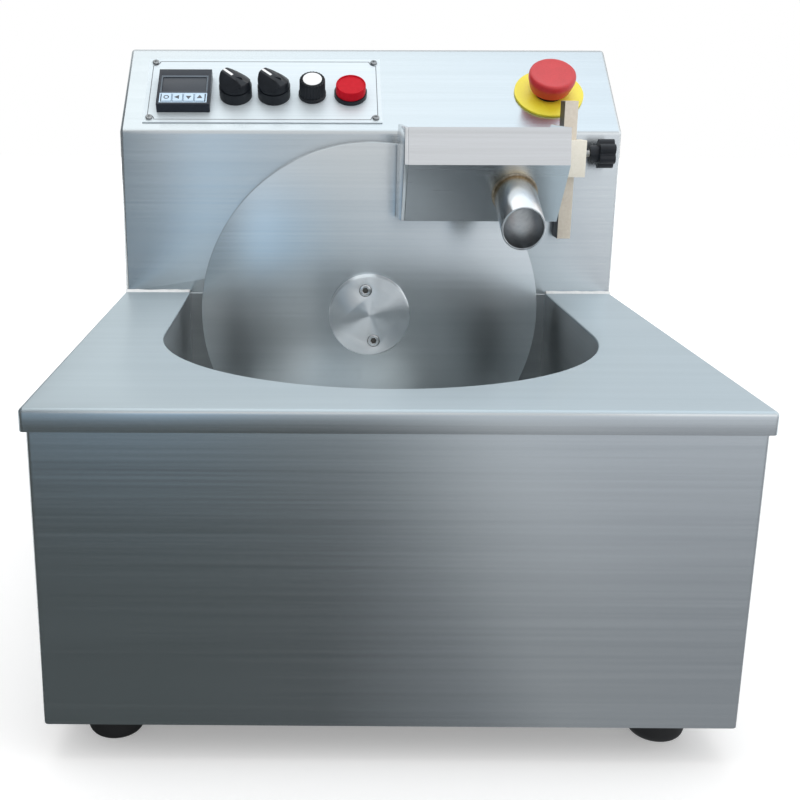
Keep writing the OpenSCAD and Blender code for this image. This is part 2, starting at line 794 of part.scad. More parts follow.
module insulation_pad() color("lightgray") floor_pad(tank_floor_z - sheet - heater_t, insulation_t);

module temperature_probe() color(bright) {
    facing_y(probe_x, console_y - probe_reach, probe_z)
        cylinder(d = probe_d, h = probe_reach + sheet + probe_tail);
    facing_y(probe_x, wall_back_y, probe_z) cylinder(d = probe_nut_d, h = probe_nut_t, $fn = 6);
}

module motor_driver() color("seagreen") {
    translate([driver_x, driver_y, base_top_z]) cube([driver_w, driver_d, driver_h - fin_h]);
    for (i = [0:fin_count - 1])
        translate([driver_x + i * (driver_w - fin_t) / (fin_count - 1), driver_y,
                   base_top_z + driver_h - fin_h])
            cube([fin_t, driver_d, fin_h]);
}

module power_gland() color(black) difference() {
    union() {
        facing_y(gland_x, cover_y - gland_thread_in, gland_z)
            cylinder(d = gland_thread_d, h = gland_thread_in + sheet + over);
        facing_y(gland_x, cover_y - gland_nut_t, gland_z) cylinder(d = gland_d, h = gland_nut_t, $fn = 6);
        facing_y(gland_x, rear_y, gland_z) cylinder(d = gland_d, h = gland_nut_t + over, $fn = 6);
        facing_y(gland_x, rear_y, gland_z) domed(gland_d - gland_crown, gland_len, gland_round);
    }
    facing_y(gland_x, cover_y - gland_thread_in - over, gland_z)
        cylinder(d = gland_bore_d, h = 2 * gland_thread_in + gland_len);
}

// Scraper

module scraper_post() color(beige) difference() {
    translate([post_x, post_front_y, deck_z + post_foot]) cube([post_w, post_d, post_len]);
    for (z = post_screw_z)
        facing_y(post_x + post_w / 2, console_y - post_d * 0.6, z)
            cylinder(d = post_screw_d + 2 * bolt_gap, h = post_d);
}

module post_screws() color(bright) for (z = post_screw_z)
    facing_y(post_x + post_w / 2, wall_back_y, z) pan_screw(post_screw_d, sheet + post_d * 0.5);

module scraper_blade() color(bright) along_x(trough_left_x - blade_t, blade_t) polygon([
    [trough_front_y + band_lean, trough_top_z], [trough_front_y, band_foot_z],
    [lower_foot_y, lower_foot_z], [blade_y - blade_corner, lower_foot_z - blade_corner / 2],
    [blade_y, lower_foot_z + blade_corner / 2], [blade_y, trough_top_z - blade_corner],
    [blade_y - blade_corner, trough_top_z]
]);

// Middle of the lower face, where the spout stands square to it
module at_spout() translate([spout_x, trough_front_y + lower_run / 2, band_foot_z - lower_drop / 2])
    rotate([90 + spout_tilt, 0, 0]) children();

// Space of the trough seen from the front: upright by the band, leaning in at its right end below
module trough_front() translate([0, console_y, 0]) rotate([90, 0, 0]) linear_extrude(2 * trough_d) polygon([
    [trough_left_x, lower_foot_z - sheet], [trough_right_x - end_lean, lower_foot_z - sheet],
    [trough_right_x - end_lean, lower_foot_z], [trough_right_x, band_foot_z],
    [trough_right_x, trough_top_z], [trough_left_x, trough_top_z]
]);

module scraper_trough() color(bright) difference() {
    union() {
        path = [
            [trough_front_y + band_lean, trough_top_z], [trough_front_y, band_foot_z],
            [lower_foot_y, lower_foot_z], [floor_back_y, lower_foot_z + floor_rise]
        ];
        end_path = [
            [trough_right_x - end_lean, lower_foot_z], [trough_right_x, band_foot_z],
            [trough_right_x, trough_top_z]
        ];
        intersection() {
            along_x(trough_left_x, trough_w) polygon(bent_sheet(path, sheet));
            trough_front();
        }
        intersection() {
            translate([0, console_y, 0]) rotate([90, 0, 0]) linear_extrude(2 * trough_d)
                polygon(bent_sheet(end_path, sheet));
            along_x(0, deck_w) polygon([
                [trough_front_y + band_lean, trough_top_z], [trough_front_y, band_foot_z],
                [lower_foot_y, lower_foot_z], [floor_back_y, lower_foot_z + floor_rise],
                [floor_back_y, block_z], [block_end_y, block_z],
                [block_end_y, block_z + block_h], [floor_back_y, trough_top_z]
            ]);
        }
    }
    at_spout() drill(spout_d - 2 * spout_wall);
    block_screw_places() drill(block_screw_d + 2 * bolt_gap);
}

module spout_tube() color(bright) difference() {
    at_spout() ring(spout_d, spout_d - 2 * spout_wall, spout_len + spout_d / 2);
    at_spout() translate([0, 0, spout_len]) rotate([mouth_tilt - spout_tilt, 0, 0])
        translate([-spout_d, -2 * spout_d, 0]) cube([2 * spout_d, 4 * spout_d, 2 * spout_d]);
}

module block_screw_places() for (y = block_screw_y)
    facing_x(trough_right_x - sheet, y, block_screw_z) mirror([0, 0, 1]) children();

module clamp_block() color(beige) difference() {
    translate([trough_right_x, block_y, block_z])
        cube([block_right_x - trough_right_x, block_end_y - block_y, block_h]);
    translate([post_x - slide_gap, post_front_y - slide_gap, block_z - over])
        cube([post_w + 2 * slide_gap, post_d, block_h + 2 * over]);
    facing_x(post_x + post_w, stud_y, stud_z) cylinder(d = stud_d + 2 * bolt_gap, h = 2 * block_cheek);
    block_screw_places() drill(block_screw_d + 2 * bolt_gap);
}

module block_screws() color(bright) block_screw_places() pan_screw(block_screw_d, block_screw_len);

module clamp_pad() color("white") facing_x(pad_x, stud_y, stud_z) cylinder(d = stud_d - pad_step, h = pad_t);

module clamp_stud() color(bright) facing_x(stud_x, stud_y, stud_z)
    cylinder(d = stud_d, h = star_x + star_neck - stud_x);

module clamp_knob() color(black) facing_x(star_x, stud_y, stud_z) {
    lobe_d = 0.34 * star_d;
    difference() {
        cylinder(d = star_neck_d, h = star_neck + over);
        translate([0, 0, -over]) cylinder(d = stud_d + 2 * fit_gap, h = star_neck + over);
    }
    translate([0, 0, star_neck]) {
        cylinder(d = 0.78 * star_d, h = star_t);
        for (i = [0:star_lobes - 1]) rotate([0, 0, i * 360 / star_lobes])
            translate([(star_d - lobe_d) / 2, 0, 0]) cylinder(d = lobe_d, h = star_t);
    }
}

// Control panel

module plate_screw_places() for (x = [-1, 1], y = [-1, 1])
    on_slope(plate_mid_x + x * (plate_w / 2 - plate_screw_inset),
             plate_mid_t + y * (plate_h / 2 - plate_screw_inset)) children();

module control_plate() color("lightsteelblue") difference() {
    on_slope(plate_mid_x, plate_mid_t) linear_extrude(plate_t) square([plate_w, plate_h], center = true);
    panel_holes();
}

module plate_screws() color(bright) plate_screw_places()
    translate([0, 0, plate_t]) pan_screw(plate_screw_d, plate_screw_len);

module key_places() for (i = [0:key_count - 1])
    on_slope(controller_x, device_rise)
        translate([(i - (key_count - 1) / 2) * key_pitch, key_row, 0]) children();

// The controller's housing: a square bezel on the plate and a case behind the panel
module controller_body() color(black) difference() {
    on_slope(controller_x, device_rise) translate([0, 0, plate_t]) difference() {
        union() {
            linear_extrude(bezel_t) square(bezel_w, center = true);
            translate([0, 0, -case_depth]) linear_extrude(case_depth + over) square(case_w, center = true);
        }
        translate([0, window_mid, bezel_t - window_t])
            linear_extrude(window_t + over) square([window_w, window_h], center = true);
    }
    key_places() translate([0, 0, plate_t + bezel_t - key_well]) linear_extrude(key_well + over)
        square([key_w + 2 * part_gap, key_h + 2 * part_gap], center = true);
}

module controller_window() color([0.1, 0.12, 0.14]) on_slope(controller_x, device_rise)
    translate([0, window_mid, plate_t + bezel_t - window_t])
        linear_extrude(window_t * 0.6)
            square([window_w - 2 * window_gap, window_h - 2 * window_gap], center = true);

module controller_key(i) color("lightblue") on_slope(controller_x, device_rise)
    translate([(i - (key_count - 1) / 2) * key_pitch, key_row,
               plate_t + bezel_t - key_well + key_travel + part_gap])
        linear_extrude(key_well - key_travel - part_gap + key_proud) square([key_w, key_h], center = true);

// A panel device's body: collar on the plate, barrel through the hole, nut and contact block behind
module device_body(height, top_bore) difference() {
    union() {
        translate([0, 0, plate_t]) cylinder(d = collar_d, h = height);
        translate([0, 0, -sheet - nut_t])
            cylinder(d = device_hole_d - 2 * part_gap, h = plate_t + sheet + nut_t);
        translate([0, 0, -sheet - nut_t]) cylinder(d = device_nut_d, h = nut_t, $fn = 6);
        translate([-contact_w / 2, -contact_w / 2, -sheet - nut_t - contact_depth])
            cube([contact_w, contact_w, contact_depth]);
    }
    translate([0, 0, plate_t + height / 2]) cylinder(d = top_bore, h = height);
}

module switch_body(i) color(black) on_slope(switch_x[i], device_rise)
    device_body(collar_t, lever_hub_d + 2 * part_gap);

module switch_lever(i) color(black) on_slope(switch_x[i], device_rise)
    translate([0, 0, plate_t + collar_t / 2 + part_gap]) rotate([0, 0, lever_turn]) {
        cylinder(d = lever_hub_d, h = collar_t / 2);
        intersection() {
            translate([-lever_w / 2, -lever_len / 2, collar_t / 2]) cube([lever_w, lever_len, lever_h]);
            cylinder(d = lever_len, h = collar_t + lever_h);
        }
    }

module speed_pot() color(dark) on_slope(speed_x, device_rise) {
    translate([0, 0, -sheet - pot_t]) cylinder(d = pot_d, h = pot_t);
    translate([0, 0, -sheet]) cylinder(d = pot_hole_d, h = sheet + plate_t + nut_t);
    translate([0, 0, plate_t + nut_t]) cylinder(d = pot_shaft_d, h = knob_h / 2);
}

module speed_knob() color(black) on_slope(speed_x, device_rise) translate([0, 0, plate_t + part_gap])
    difference() {
        union() {
            cylinder(d = knob_d, h = knob_skirt);
            cylinder(d1 = knob_d - knob_step, d2 = knob_cap_d + 2 * knob_rim, h = knob_h);
        }
        translate([0, 0, -over]) cylinder(d = pot_hole_d + knob_nut_clear, h = nut_t + 2 * over);
        cylinder(d = pot_shaft_d + 2 * fit_gap, h = nut_t + knob_h / 2 + part_gap);
        translate([0, 0, knob_h - knob_cap_sink]) cylinder(d = knob_cap_d + 2 * fit_gap, h = knob_cap_t);
    }

module speed_knob_cap() color("whitesmoke") on_slope(speed_x, device_rise)
    translate([0, 0, plate_t + part_gap + knob_h - knob_cap_sink])
        domed(knob_cap_d, knob_cap_t, knob_cap_round);

module lamp_body() color(black) on_slope(lamp_x, device_rise)
    device_body(lamp_collar_t, lens_d + 2 * fit_gap);

module lamp_lens() color("red") on_slope(lamp_x, device_rise)
    translate([0, 0, plate_t + lamp_collar_t / 2]) domed(lens_d, lamp_collar_t / 2 + lens_h, lens_round);

module estop_ring() color("gold") on_slope(estop_x, estop_rise)
    ring(estop_ring_d, device_hole_d, estop_ring_t);

module estop_body() color(black) on_slope(estop_x, estop_rise) difference() {
    union() {
        translate([0, 0, estop_ring_t]) cylinder(d = estop_collar_d, h = estop_collar_t);
        translate([0, 0, -sheet - nut_t])
            cylinder(d = device_hole_d - 2 * part_gap, h = sheet + nut_t + estop_ring_t);
        translate([0, 0, -sheet - nut_t]) cylinder(d = device_nut_d, h = nut_t, $fn = 6);
        translate([-contact_w / 2, -contact_w / 2, -sheet - nut_t - contact_depth])
            cube([contact_w, contact_w, contact_depth]);
    }
    translate([0, 0, -estop_travel - 2 * over])
        cylinder(d = estop_stem_d + 2 * fit_gap, h = 2 * estop_lift + estop_stem_d);
}

module estop_plunger() color("darkred") on_slope(estop_x, estop_rise)
    translate([0, 0, -over]) cylinder(d = estop_stem_d, h = over + estop_lift + estop_stem_in);

module estop_head() color("red") on_slope(estop_x, estop_rise) difference() {
    union() {
        translate([0, 0, estop_lift]) cylinder(d1 = estop_foot_d, d2 = estop_head_d, h = estop_taper_h);
        translate([0, 0, estop_lift + estop_taper_h])
            domed(estop_head_d, estop_head_h - estop_taper_h, estop_round);
    }
    cylinder(d = estop_stem_d + 2 * fit_gap, h = estop_lift + estop_stem_in + fit_gap);
}

base_wrap();
base_plate();
rear_cover();
cover_screws();
deck();
deck_sealant();
tank();
console_shell();
rubber_feet();
foot_screws();
wheel_drum();
wheel_back_plate();
hub_cap();
hub_screws();
wheel_shaft();
shaft_seal();
bearing_housing();
shaft_bearing();
shaft_coupling();
gearbox();
gearbox_shaft();
drive_motor();
motor_bracket();
heater_mat();
insulation_pad();
temperature_probe();
motor_driver();
power_gland();
scraper_post();
post_screws();
scraper_blade();
scraper_trough();
spout_tube();
clamp_block();
block_screws();
clamp_pad();
clamp_stud();
clamp_knob();
control_plate();
plate_screws();
controller_body();
controller_window();
controller_key(0);  // controller_key_1
controller_key(1);  // controller_key_2
controller_key(2);  // controller_key_3
controller_key(3);  // controller_key_4
switch_body(0);  // heat_switch_body
switch_lever(0);  // heat_switch_lever
switch_body(1);  // wheel_switch_body
switch_lever(1);  // wheel_switch_lever
speed_pot();
speed_knob();
speed_knob_cap();
lamp_body();
lamp_lens();
estop_ring();
estop_body();
estop_plunger();
estop_head();
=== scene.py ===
import math

import bmesh
import bpy
from mathutils import Matrix, Vector, noise


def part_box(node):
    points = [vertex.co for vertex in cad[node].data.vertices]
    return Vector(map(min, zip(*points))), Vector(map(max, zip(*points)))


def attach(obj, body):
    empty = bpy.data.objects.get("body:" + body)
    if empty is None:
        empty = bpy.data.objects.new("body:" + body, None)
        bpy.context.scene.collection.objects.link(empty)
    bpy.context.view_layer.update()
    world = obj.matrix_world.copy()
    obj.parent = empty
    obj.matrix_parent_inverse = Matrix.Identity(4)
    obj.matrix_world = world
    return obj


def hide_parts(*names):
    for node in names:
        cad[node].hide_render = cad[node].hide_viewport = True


# Looks of the table-top chocolate melting tank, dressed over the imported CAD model.
# Lengths are in metres: X to the right seen from the front, the front faces -Y, Z is up.

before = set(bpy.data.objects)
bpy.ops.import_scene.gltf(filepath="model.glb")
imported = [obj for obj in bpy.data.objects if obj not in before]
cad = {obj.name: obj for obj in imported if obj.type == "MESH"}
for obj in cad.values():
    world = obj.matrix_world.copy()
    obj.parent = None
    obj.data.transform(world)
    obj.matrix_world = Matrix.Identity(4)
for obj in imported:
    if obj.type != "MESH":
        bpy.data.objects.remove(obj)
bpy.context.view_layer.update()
MM = 0.001

# Places taken from the CAD model

deck_low, deck_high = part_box("deck")
console_low, console_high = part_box("console_shell")
wheel_low, wheel_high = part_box("wheel_drum")
deck_top = deck_high.z
console_face = console_low.y
wheel_face = wheel_low.y
axle = Vector((0.0, wheel_face, (wheel_low.z + wheel_high.z) / 2))
wheel_radius = (wheel_high.x - wheel_low.x) / 2
slope = math.radians(39.4)
slope_length = 108 * MM
bend_height = console_high.z - slope_length * math.sin(slope)
plate_width = 206 * MM
plate_height = 84 * MM
plate_thickness = 1.0 * MM
device_rise = 45 * MM

# Outer radius of the sheet's bends
bend_round = 3.0 * MM

# A point this near to a face counts as on it
NEAR = 0.1 * MM


def on_panel(x, rise, lift=0.0):
    """Place on the sloped panel: local Y runs up the slope and local Z stands off it."""
    along = Vector((x, console_face + rise * math.cos(slope), bend_height + rise * math.sin(slope)))
    off = Vector((0.0, -math.sin(slope), math.cos(slope))) * lift
    return Matrix.Translation(along + off) @ Matrix.Rotation(slope, 4, "X")


# Shaping

def merged_copy(node):
    """A welded copy of a CAD node, with the flat faces made whole."""
    shape = bmesh.new()
    shape.from_mesh(cad[node].data)
    bmesh.ops.remove_doubles(shape, verts=shape.verts, dist=2e-6)
    bmesh.ops.dissolve_limit(shape, angle_limit=math.radians(0.3), verts=shape.verts, edges=shape.edges)
    return shape


def sharp_edges(shape, wanted=None, least=25):
    """Edges that bend by more than the least angle, in degrees, and whose ends are wanted."""
    found = []
    for edge in shape.edges:
        if len(edge.link_faces) == 2 and edge.calc_face_angle(0.0) > math.radians(least):
            if wanted is None or wanted(edge.verts[0].co, edge.verts[1].co):
                found.append(edge)
    return found


def round_off(shape, edges, width, steps=3, limit=True):
    """Rounds edges to a width; the limit keeps neighbouring rounds from overlapping."""
    bmesh.ops.bevel(
        shape, geom=edges, offset=width, offset_type="OFFSET", affect="EDGES", segments=steps,
        profile=0.5, clamp_overlap=limit, material=-1,
    )


def eased_copy(node, width, steps, least=60):
    """A welded copy of a CAD node whose sharp edges are rounded to a width."""
    shape = merged_copy(node)
    round_off(shape, sharp_edges(shape, None, least), width, steps)
    return shape


def turned(profile, steps=96):
    """A body of revolution about Z from (radius, height) points, closed on the axis."""
    shape = bmesh.new()
    rim = [shape.verts.new((radius, 0.0, height)) for radius, height in profile]
    line = [shape.edges.new(pair) for pair in zip(rim, rim[1:])]
    bmesh.ops.spin(
        shape, geom=rim + line, cent=(0, 0, 0), axis=(0, 0, 1), angle=math.tau, steps=steps, use_merge=True,
    )
    bmesh.ops.remove_doubles(shape, verts=shape.verts, dist=1e-6)
    bmesh.ops.recalc_face_normals(shape, faces=shape.faces)
    return shape


def block(size, place=(0, 0, 0)):
    """A rectangular blank with its middle at a place."""
    shape = bmesh.new()
    bmesh.ops.create_cube(shape, size=1.0)
    bmesh.ops.scale(shape, vec=size, verts=shape.verts)
    bmesh.ops.translate(shape, vec=place, verts=shape.verts)
    return shape


def move(shape, matrix):
    bmesh.ops.transform(shape, matrix=matrix, verts=shape.verts)
    return shape


def joined(*shapes):
    """One bmesh that holds several shapes."""
    whole = bmesh.new()
    for shape in shapes:
        part = bpy.data.meshes.new("part")
        shape.to_mesh(part)
        shape.free()
        whole.from_mesh(part)
        bpy.data.meshes.remove(part)
    return whole


def placed(name, data):
    """A new object in the scene that holds a mesh, a lamp or a camera."""
    thing = bpy.data.objects.new(name, data)
    bpy.context.scene.collection.objects.link(thing)
    return thing


def keep(shape, name, body, finishes, replaced=(), crease=32):
    """Makes a bmesh a piece that rides on a body; edges past the crease, in degrees, stay sharp."""
    mesh = bpy.data.meshes.new(name)
    shape.to_mesh(mesh)
    shape.free()
    mesh.shade_smooth()
    mesh.set_sharp_from_angle(angle=math.radians(crease))
    piece = placed(name, mesh)
    for finish in finishes if isinstance(finishes, (list, tuple)) else [finishes]:
        mesh.materials.append(finish)
    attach(piece, body)
    if replaced:
        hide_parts(*replaced)
    return piece


# Finishes

def new_finish(name):
    finish = bpy.data.materials.new(name)
    finish.use_nodes = True
    return finish, finish.node_tree, finish.node_tree.nodes["Principled BSDF"]


def grain(tree, scale, detail=3.0, rough=0.5):
    """Noise on Object coordinates, stretched by a scale for each axis."""
    place = tree.nodes.new("ShaderNodeTexCoord")
    stretch = tree.nodes.new("ShaderNodeMapping")
    stretch.inputs["Scale"].default_value = scale
    cloud = tree.nodes.new("ShaderNodeTexNoise")
    cloud.inputs["Scale"].default_value = 1.0
    cloud.inputs["Detail"].default_value = detail
    cloud.inputs["Roughness"].default_value = rough
    tree.links.new(place.outputs["Object"], stretch.inputs["Vector"])
    tree.links.new(stretch.outputs["Vector"], cloud.inputs["Vector"])
    return cloud.outputs["Fac"]


def between(tree, value, low, high, start=0.3, end=0.7):
    """A value that runs from low to high while another runs from start to end."""
    reach = tree.nodes.new("ShaderNodeMapRange")
    reach.inputs["From Min"].default_value = start
    reach.inputs["From Max"].default_value = end
    reach.inputs["To Min"].default_value = low
    reach.inputs["To Max"].default_value = high
    tree.links.new(value, reach.inputs["Value"])
    return reach.outputs["Result"]


def shades(tree, value, *stops):
    """Colours along a value: each stop is a place from 0 to 1 and a colour."""
    ramp = tree.nodes.new("ShaderNodeValToRGB")
    band = ramp.color_ramp
    band.elements[0].position = stops[0][0]
    band.elements[0].color = (*stops[0][1], 1.0)
    band.elements[1].position = stops[-1][0]
    band.elements[1].color = (*stops[-1][1], 1.0)
    for place, colour in stops[1:-1]:
        band.elements.new(place).color = (*colour, 1.0)
    tree.links.new(value, ramp.inputs["Fac"])
    return ramp.outputs["Color"]


def place_along(tree):
    """The Object coordinates as three values, named X, Y and Z."""
    place = tree.nodes.new("ShaderNodeTexCoord")
    parts = tree.nodes.new("ShaderNodeSeparateXYZ")
    tree.links.new(place.outputs["Object"], parts.inputs["Vector"])
    return parts.outputs


def shifted_place(tree, centre):
    """The Object coordinates measured from a centre."""
    place = tree.nodes.new("ShaderNodeTexCoord")
    shift = tree.nodes.new("ShaderNodeMapping")
    shift.inputs["Location"].default_value = (-centre.x, -centre.y, -centre.z)
    tree.links.new(place.outputs["Object"], shift.inputs["Vector"])
    return shift.outputs["Vector"]


def mixed_shades(tree, share, first, second):
    """The first colour where the share is 0, the second where it is 1."""
    blend = tree.nodes.new("ShaderNodeMix")
    blend.data_type = "RGBA"
    tree.links.new(share, blend.inputs[0])
    tree.links.new(first, blend.inputs[6])
    tree.links.new(second, blend.inputs[7])
    return blend.outputs[2]


def sum_of(tree, first, second, share):
    """First plus a share of second."""
    adder = tree.nodes.new("ShaderNodeMath")
    adder.operation = "MULTIPLY_ADD"
    adder.inputs[1].default_value = share
    tree.links.new(second, adder.inputs[0])
    tree.links.new(first, adder.inputs[2])
    return adder.outputs["Value"]


def relief(tree, shader, value, depth, strength=1.0):
    bump = tree.nodes.new("ShaderNodeBump")
    bump.inputs["Distance"].default_value = depth
    bump.inputs["Strength"].default_value = strength
    tree.links.new(value, bump.inputs["Height"])
    tree.links.new(bump.outputs["Normal"], shader.inputs["Normal"])


def smear_along(tree, shader, axis, amount, turn=0.0):
    """Lets reflections smear across the brushing: the tangent runs round an axis of the piece."""
    tangent = tree.nodes.new("ShaderNodeTangent")
    tangent.direction_type = "RADIAL"
    tangent.axis = axis
    tree.links.new(tangent.outputs["Tangent"], shader.inputs["Tangent"])
    shader.inputs["Anisotropic"].default_value = amount
    shader.inputs["Anisotropic Rotation"].default_value = turn


def brushed_steel(name, dark, light, lines, streaks, rough=(0.24, 0.34), depth=0.004 * MM, smear=0.0,
                  axis="X", turn=0.0):
    """Stainless sheet with fine lines and longer, softer streaks along its brushing."""
    finish, tree, shader = new_finish(name)
    fine = grain(tree, lines, 4.0, 0.6)
    long = grain(tree, streaks, 3.0, 0.55)
    mixed = sum_of(tree, fine, long, 0.8)
    tree.links.new(shades(tree, between(tree, mixed, 0.0, 1.0, 0.6, 1.2), (0.0, dark), (1.0, light)),
                   shader.inputs["Base Color"])
    tree.links.new(between(tree, fine, rough[0], rough[1]), shader.inputs["Roughness"])
    shader.inputs["Metallic"].default_value = 1.0
    relief(tree, shader, fine, depth, 0.2)
    if smear:
        smear_along(tree, shader, axis, smear, turn)
    return finish


def turned_steel(name, dark, light, rings, rough, depth, centre):
    """Steel turned on a lathe about the wheel's axis: rings round a centre, in X and Z."""
    finish, tree, shader = new_finish(name)
    flat = tree.nodes.new("ShaderNodeVectorMath")
    flat.operation = "MULTIPLY"
    flat.inputs[1].default_value = (1.0, 0.0, 1.0)
    radius = tree.nodes.new("ShaderNodeVectorMath")
    radius.operation = "LENGTH"
    tree.links.new(shifted_place(tree, centre), flat.inputs[0])
    tree.links.new(flat.outputs["Vector"], radius.inputs[0])
    cut = tree.nodes.new("ShaderNodeTexNoise")
    cut.noise_dimensions = "1D"
    cut.inputs["Scale"].default_value = rings
    cut.inputs["Detail"].default_value = 4.0
    tree.links.new(radius.outputs["Value"], cut.inputs["W"])
    cloud = grain(tree, (14, 14, 14), 3.0)
    mixed = sum_of(tree, cut.outputs["Fac"], cloud, 0.8)
    tree.links.new(shades(tree, between(tree, mixed, 0.0, 1.0, 0.6, 1.2), (0.0, dark), (1.0, light)),
                   shader.inputs["Base Color"])
    tree.links.new(between(tree, cut.outputs["Fac"], rough[0], rough[1]), shader.inputs["Roughness"])
    shader.inputs["Metallic"].default_value = 1.0
    relief(tree, shader, cut.outputs["Fac"], depth, 0.4)
    smear_along(tree, shader, "Y", 1.0, 0.25)
    return finish


def plain_metal(name, dark, light, rough=(0.25, 0.4), scale=120, depth=0.02 * MM):
    """Small metal parts: faint clouding and handling marks."""
    finish, tree, shader = new_finish(name)
    cloud = grain(tree, (scale, scale, scale), 4.0)
    tree.links.new(shades(tree, cloud, (0.3, dark), (0.7, light)), shader.inputs["Base Color"])
    tree.links.new(between(tree, cloud, rough[0], rough[1]), shader.inputs["Roughness"])
    shader.inputs["Metallic"].default_value = 1.0
    relief(tree, shader, cloud, depth, 0.4)
    return finish


def moulded(name, dark, light, rough=(0.35, 0.5), scale=900, depth=0.03 * MM, shine=0.5):
    """Moulded plastic or rubber with a fine skin and slight mottling."""
    finish, tree, shader = new_finish(name)
    skin = grain(tree, (scale, scale, scale), 2.0)
    cloud = grain(tree, (60, 60, 60), 3.0)
    mixed = sum_of(tree, skin, cloud, 1.0)
    tree.links.new(shades(tree, between(tree, mixed, 0.0, 1.0, 0.7, 1.3), (0.0, dark), (1.0, light)),
                   shader.inputs["Base Color"])
    tree.links.new(between(tree, mixed, rough[0], rough[1], 0.7, 1.3), shader.inputs["Roughness"])
    shader.inputs["Specular IOR Level"].default_value = shine
    relief(tree, shader, skin, depth, 0.4)
    return finish


STEEL_DARK = (0.515, 0.55, 0.57)
STEEL_LIGHT = (0.565, 0.60, 0.62)

front_steel = brushed_steel("brushed_front", STEEL_DARK, STEEL_LIGHT, (3, 3, 420), (1.5, 1.5, 90),
                            (0.22, 0.27), 0.001 * MM, 0.4)
face_steel = brushed_steel("brushed_console", STEEL_DARK, STEEL_LIGHT, (3, 700, 700), (2, 110, 110),
                           (0.22, 0.27), 0.002 * MM, 0.8)
side_steel = brushed_steel("brushed_side", STEEL_DARK, STEEL_LIGHT, (3, 3, 420), (1.5, 1.5, 90), (0.24, 0.30),
                           0.001 * MM)
deck_steel = brushed_steel("brushed_deck", (0.475, 0.54, 0.575), (0.525, 0.59, 0.625), (3, 700, 700),
                           (2, 110, 110), (0.38, 0.44), 0.002 * MM, 0.8)
# The tank's steel is a lighter copy of the sheet steel: painted light
tank_painted_light_steel = brushed_steel("tank_steel_painted_light", (0.74, 0.77, 0.78), (0.81, 0.84, 0.85), (4, 4, 300), (2, 2, 40),
                           (0.32, 0.38), 0.002 * MM, 0.95, "Z", 0.25)
# The tank's rear wall behind the wheel: a darker copy of its steel, painted shade
tank_back_painted_shade = brushed_steel("tank_back_painted_shade", (0.32, 0.34, 0.35), (0.38, 0.40, 0.41), (4, 4, 300), (2, 2, 40),
                          (0.35, 0.42))
trough_steel = brushed_steel("trough_polish", (0.56, 0.58, 0.60), (0.64, 0.66, 0.69), (4, 600, 600),
                             (2, 90, 90), (0.15, 0.22), 0.002 * MM)
wheel_steel = brushed_steel("wheel_polish", STEEL_DARK, STEEL_LIGHT, (3, 500, 500), (2, 90, 90), (0.18, 0.22),
                            0.0005 * MM, 0.75)
# The hub's turned steel has a lighter base colour than the sheet steel: painted light
hub_painted_light_steel = turned_steel("hub_turning_painted_light", (0.70, 0.74, 0.77), (0.80, 0.84, 0.87), 2600, (0.36, 0.42),
                         0.003 * MM, axle)
bright_metal = plain_metal("bright_metal", (0.56, 0.57, 0.58), (0.72, 0.73, 0.74), (0.16, 0.3))
screw_metal = plain_metal("screw_metal", (0.48, 0.49, 0.50), (0.66, 0.67, 0.68), (0.22, 0.38))
dark_metal = plain_metal("cast_metal", (0.12, 0.125, 0.13), (0.22, 0.225, 0.23), (0.4, 0.6), 300, 0.1 * MM)
plate_screw_metal = plain_metal("plate_screw", (0.20, 0.205, 0.21), (0.34, 0.345, 0.35), (0.25, 0.4))
rubber = moulded("foot_rubber", (0.006, 0.006, 0.007), (0.018, 0.018, 0.02), (0.55, 0.75))
black_plastic = moulded("black_plastic", (0.006, 0.008, 0.012), (0.012, 0.016, 0.023), (0.36, 0.48), 900,
                        0.02 * MM, 0.3)
gloss_black = moulded("gloss_black", (0.008, 0.012, 0.021), (0.015, 0.021, 0.034), (0.3, 0.4), 400,
                      0.005 * MM, 0.3)
stop_red = moulded("stop_red", (0.52, 0.016, 0.022), (0.62, 0.026, 0.034), (0.3, 0.42))
stop_yellow = moulded("stop_yellow", (0.86, 0.74, 0.03), (0.94, 0.84, 0.05), (0.35, 0.5))
cream_plastic = moulded("cream_block", (0.85, 0.81, 0.69), (0.92, 0.88, 0.77), (0.4, 0.55), 500)
tan_plastic = moulded("tan_post", (0.67, 0.60, 0.50), (0.76, 0.70, 0.60), (0.4, 0.55), 400)
# Nearly black left flank of the tan post: painted shade
post_flank_painted_shade = moulded("post_flank_painted_shade", (0.035, 0.035, 0.038), (0.06, 0.058, 0.06), (0.4, 0.55), 400)
sealant = moulded("white_sealant", (0.82, 0.83, 0.83), (0.92, 0.93, 0.93), (0.3, 0.45), 300)
heater_skin = moulded("heater_silicone", (0.55, 0.12, 0.02), (0.68, 0.18, 0.04), (0.45, 0.6))
wool = moulded("insulation_felt", (0.42, 0.42, 0.40), (0.62, 0.62, 0.60), (0.8, 0.95), 500, 0.4 * MM)
green_case = moulded("driver_case", (0.05, 0.16, 0.10), (0.07, 0.22, 0.14), (0.4, 0.55))
key_blue = moulded("key_film", (0.50, 0.68, 0.86), (0.60, 0.77, 0.93), (0.3, 0.42))
slate = moulded("display_frame", (0.055, 0.075, 0.10), (0.075, 0.10, 0.13), (0.2, 0.3))
display = moulded("display_glass", (0.016, 0.022, 0.034), (0.024, 0.031, 0.045), (0.3, 0.38), 200, 0.002 * MM)
white_mark = moulded("white_mark", (0.80, 0.82, 0.83), (0.92, 0.93, 0.94), (0.35, 0.5))
ink = moulded("plate_ink", (0.05, 0.055, 0.07), (0.09, 0.095, 0.11), (0.4, 0.55))
soft_tip = moulded("soft_tip", (0.72, 0.72, 0.70), (0.84, 0.84, 0.82), (0.45, 0.6))


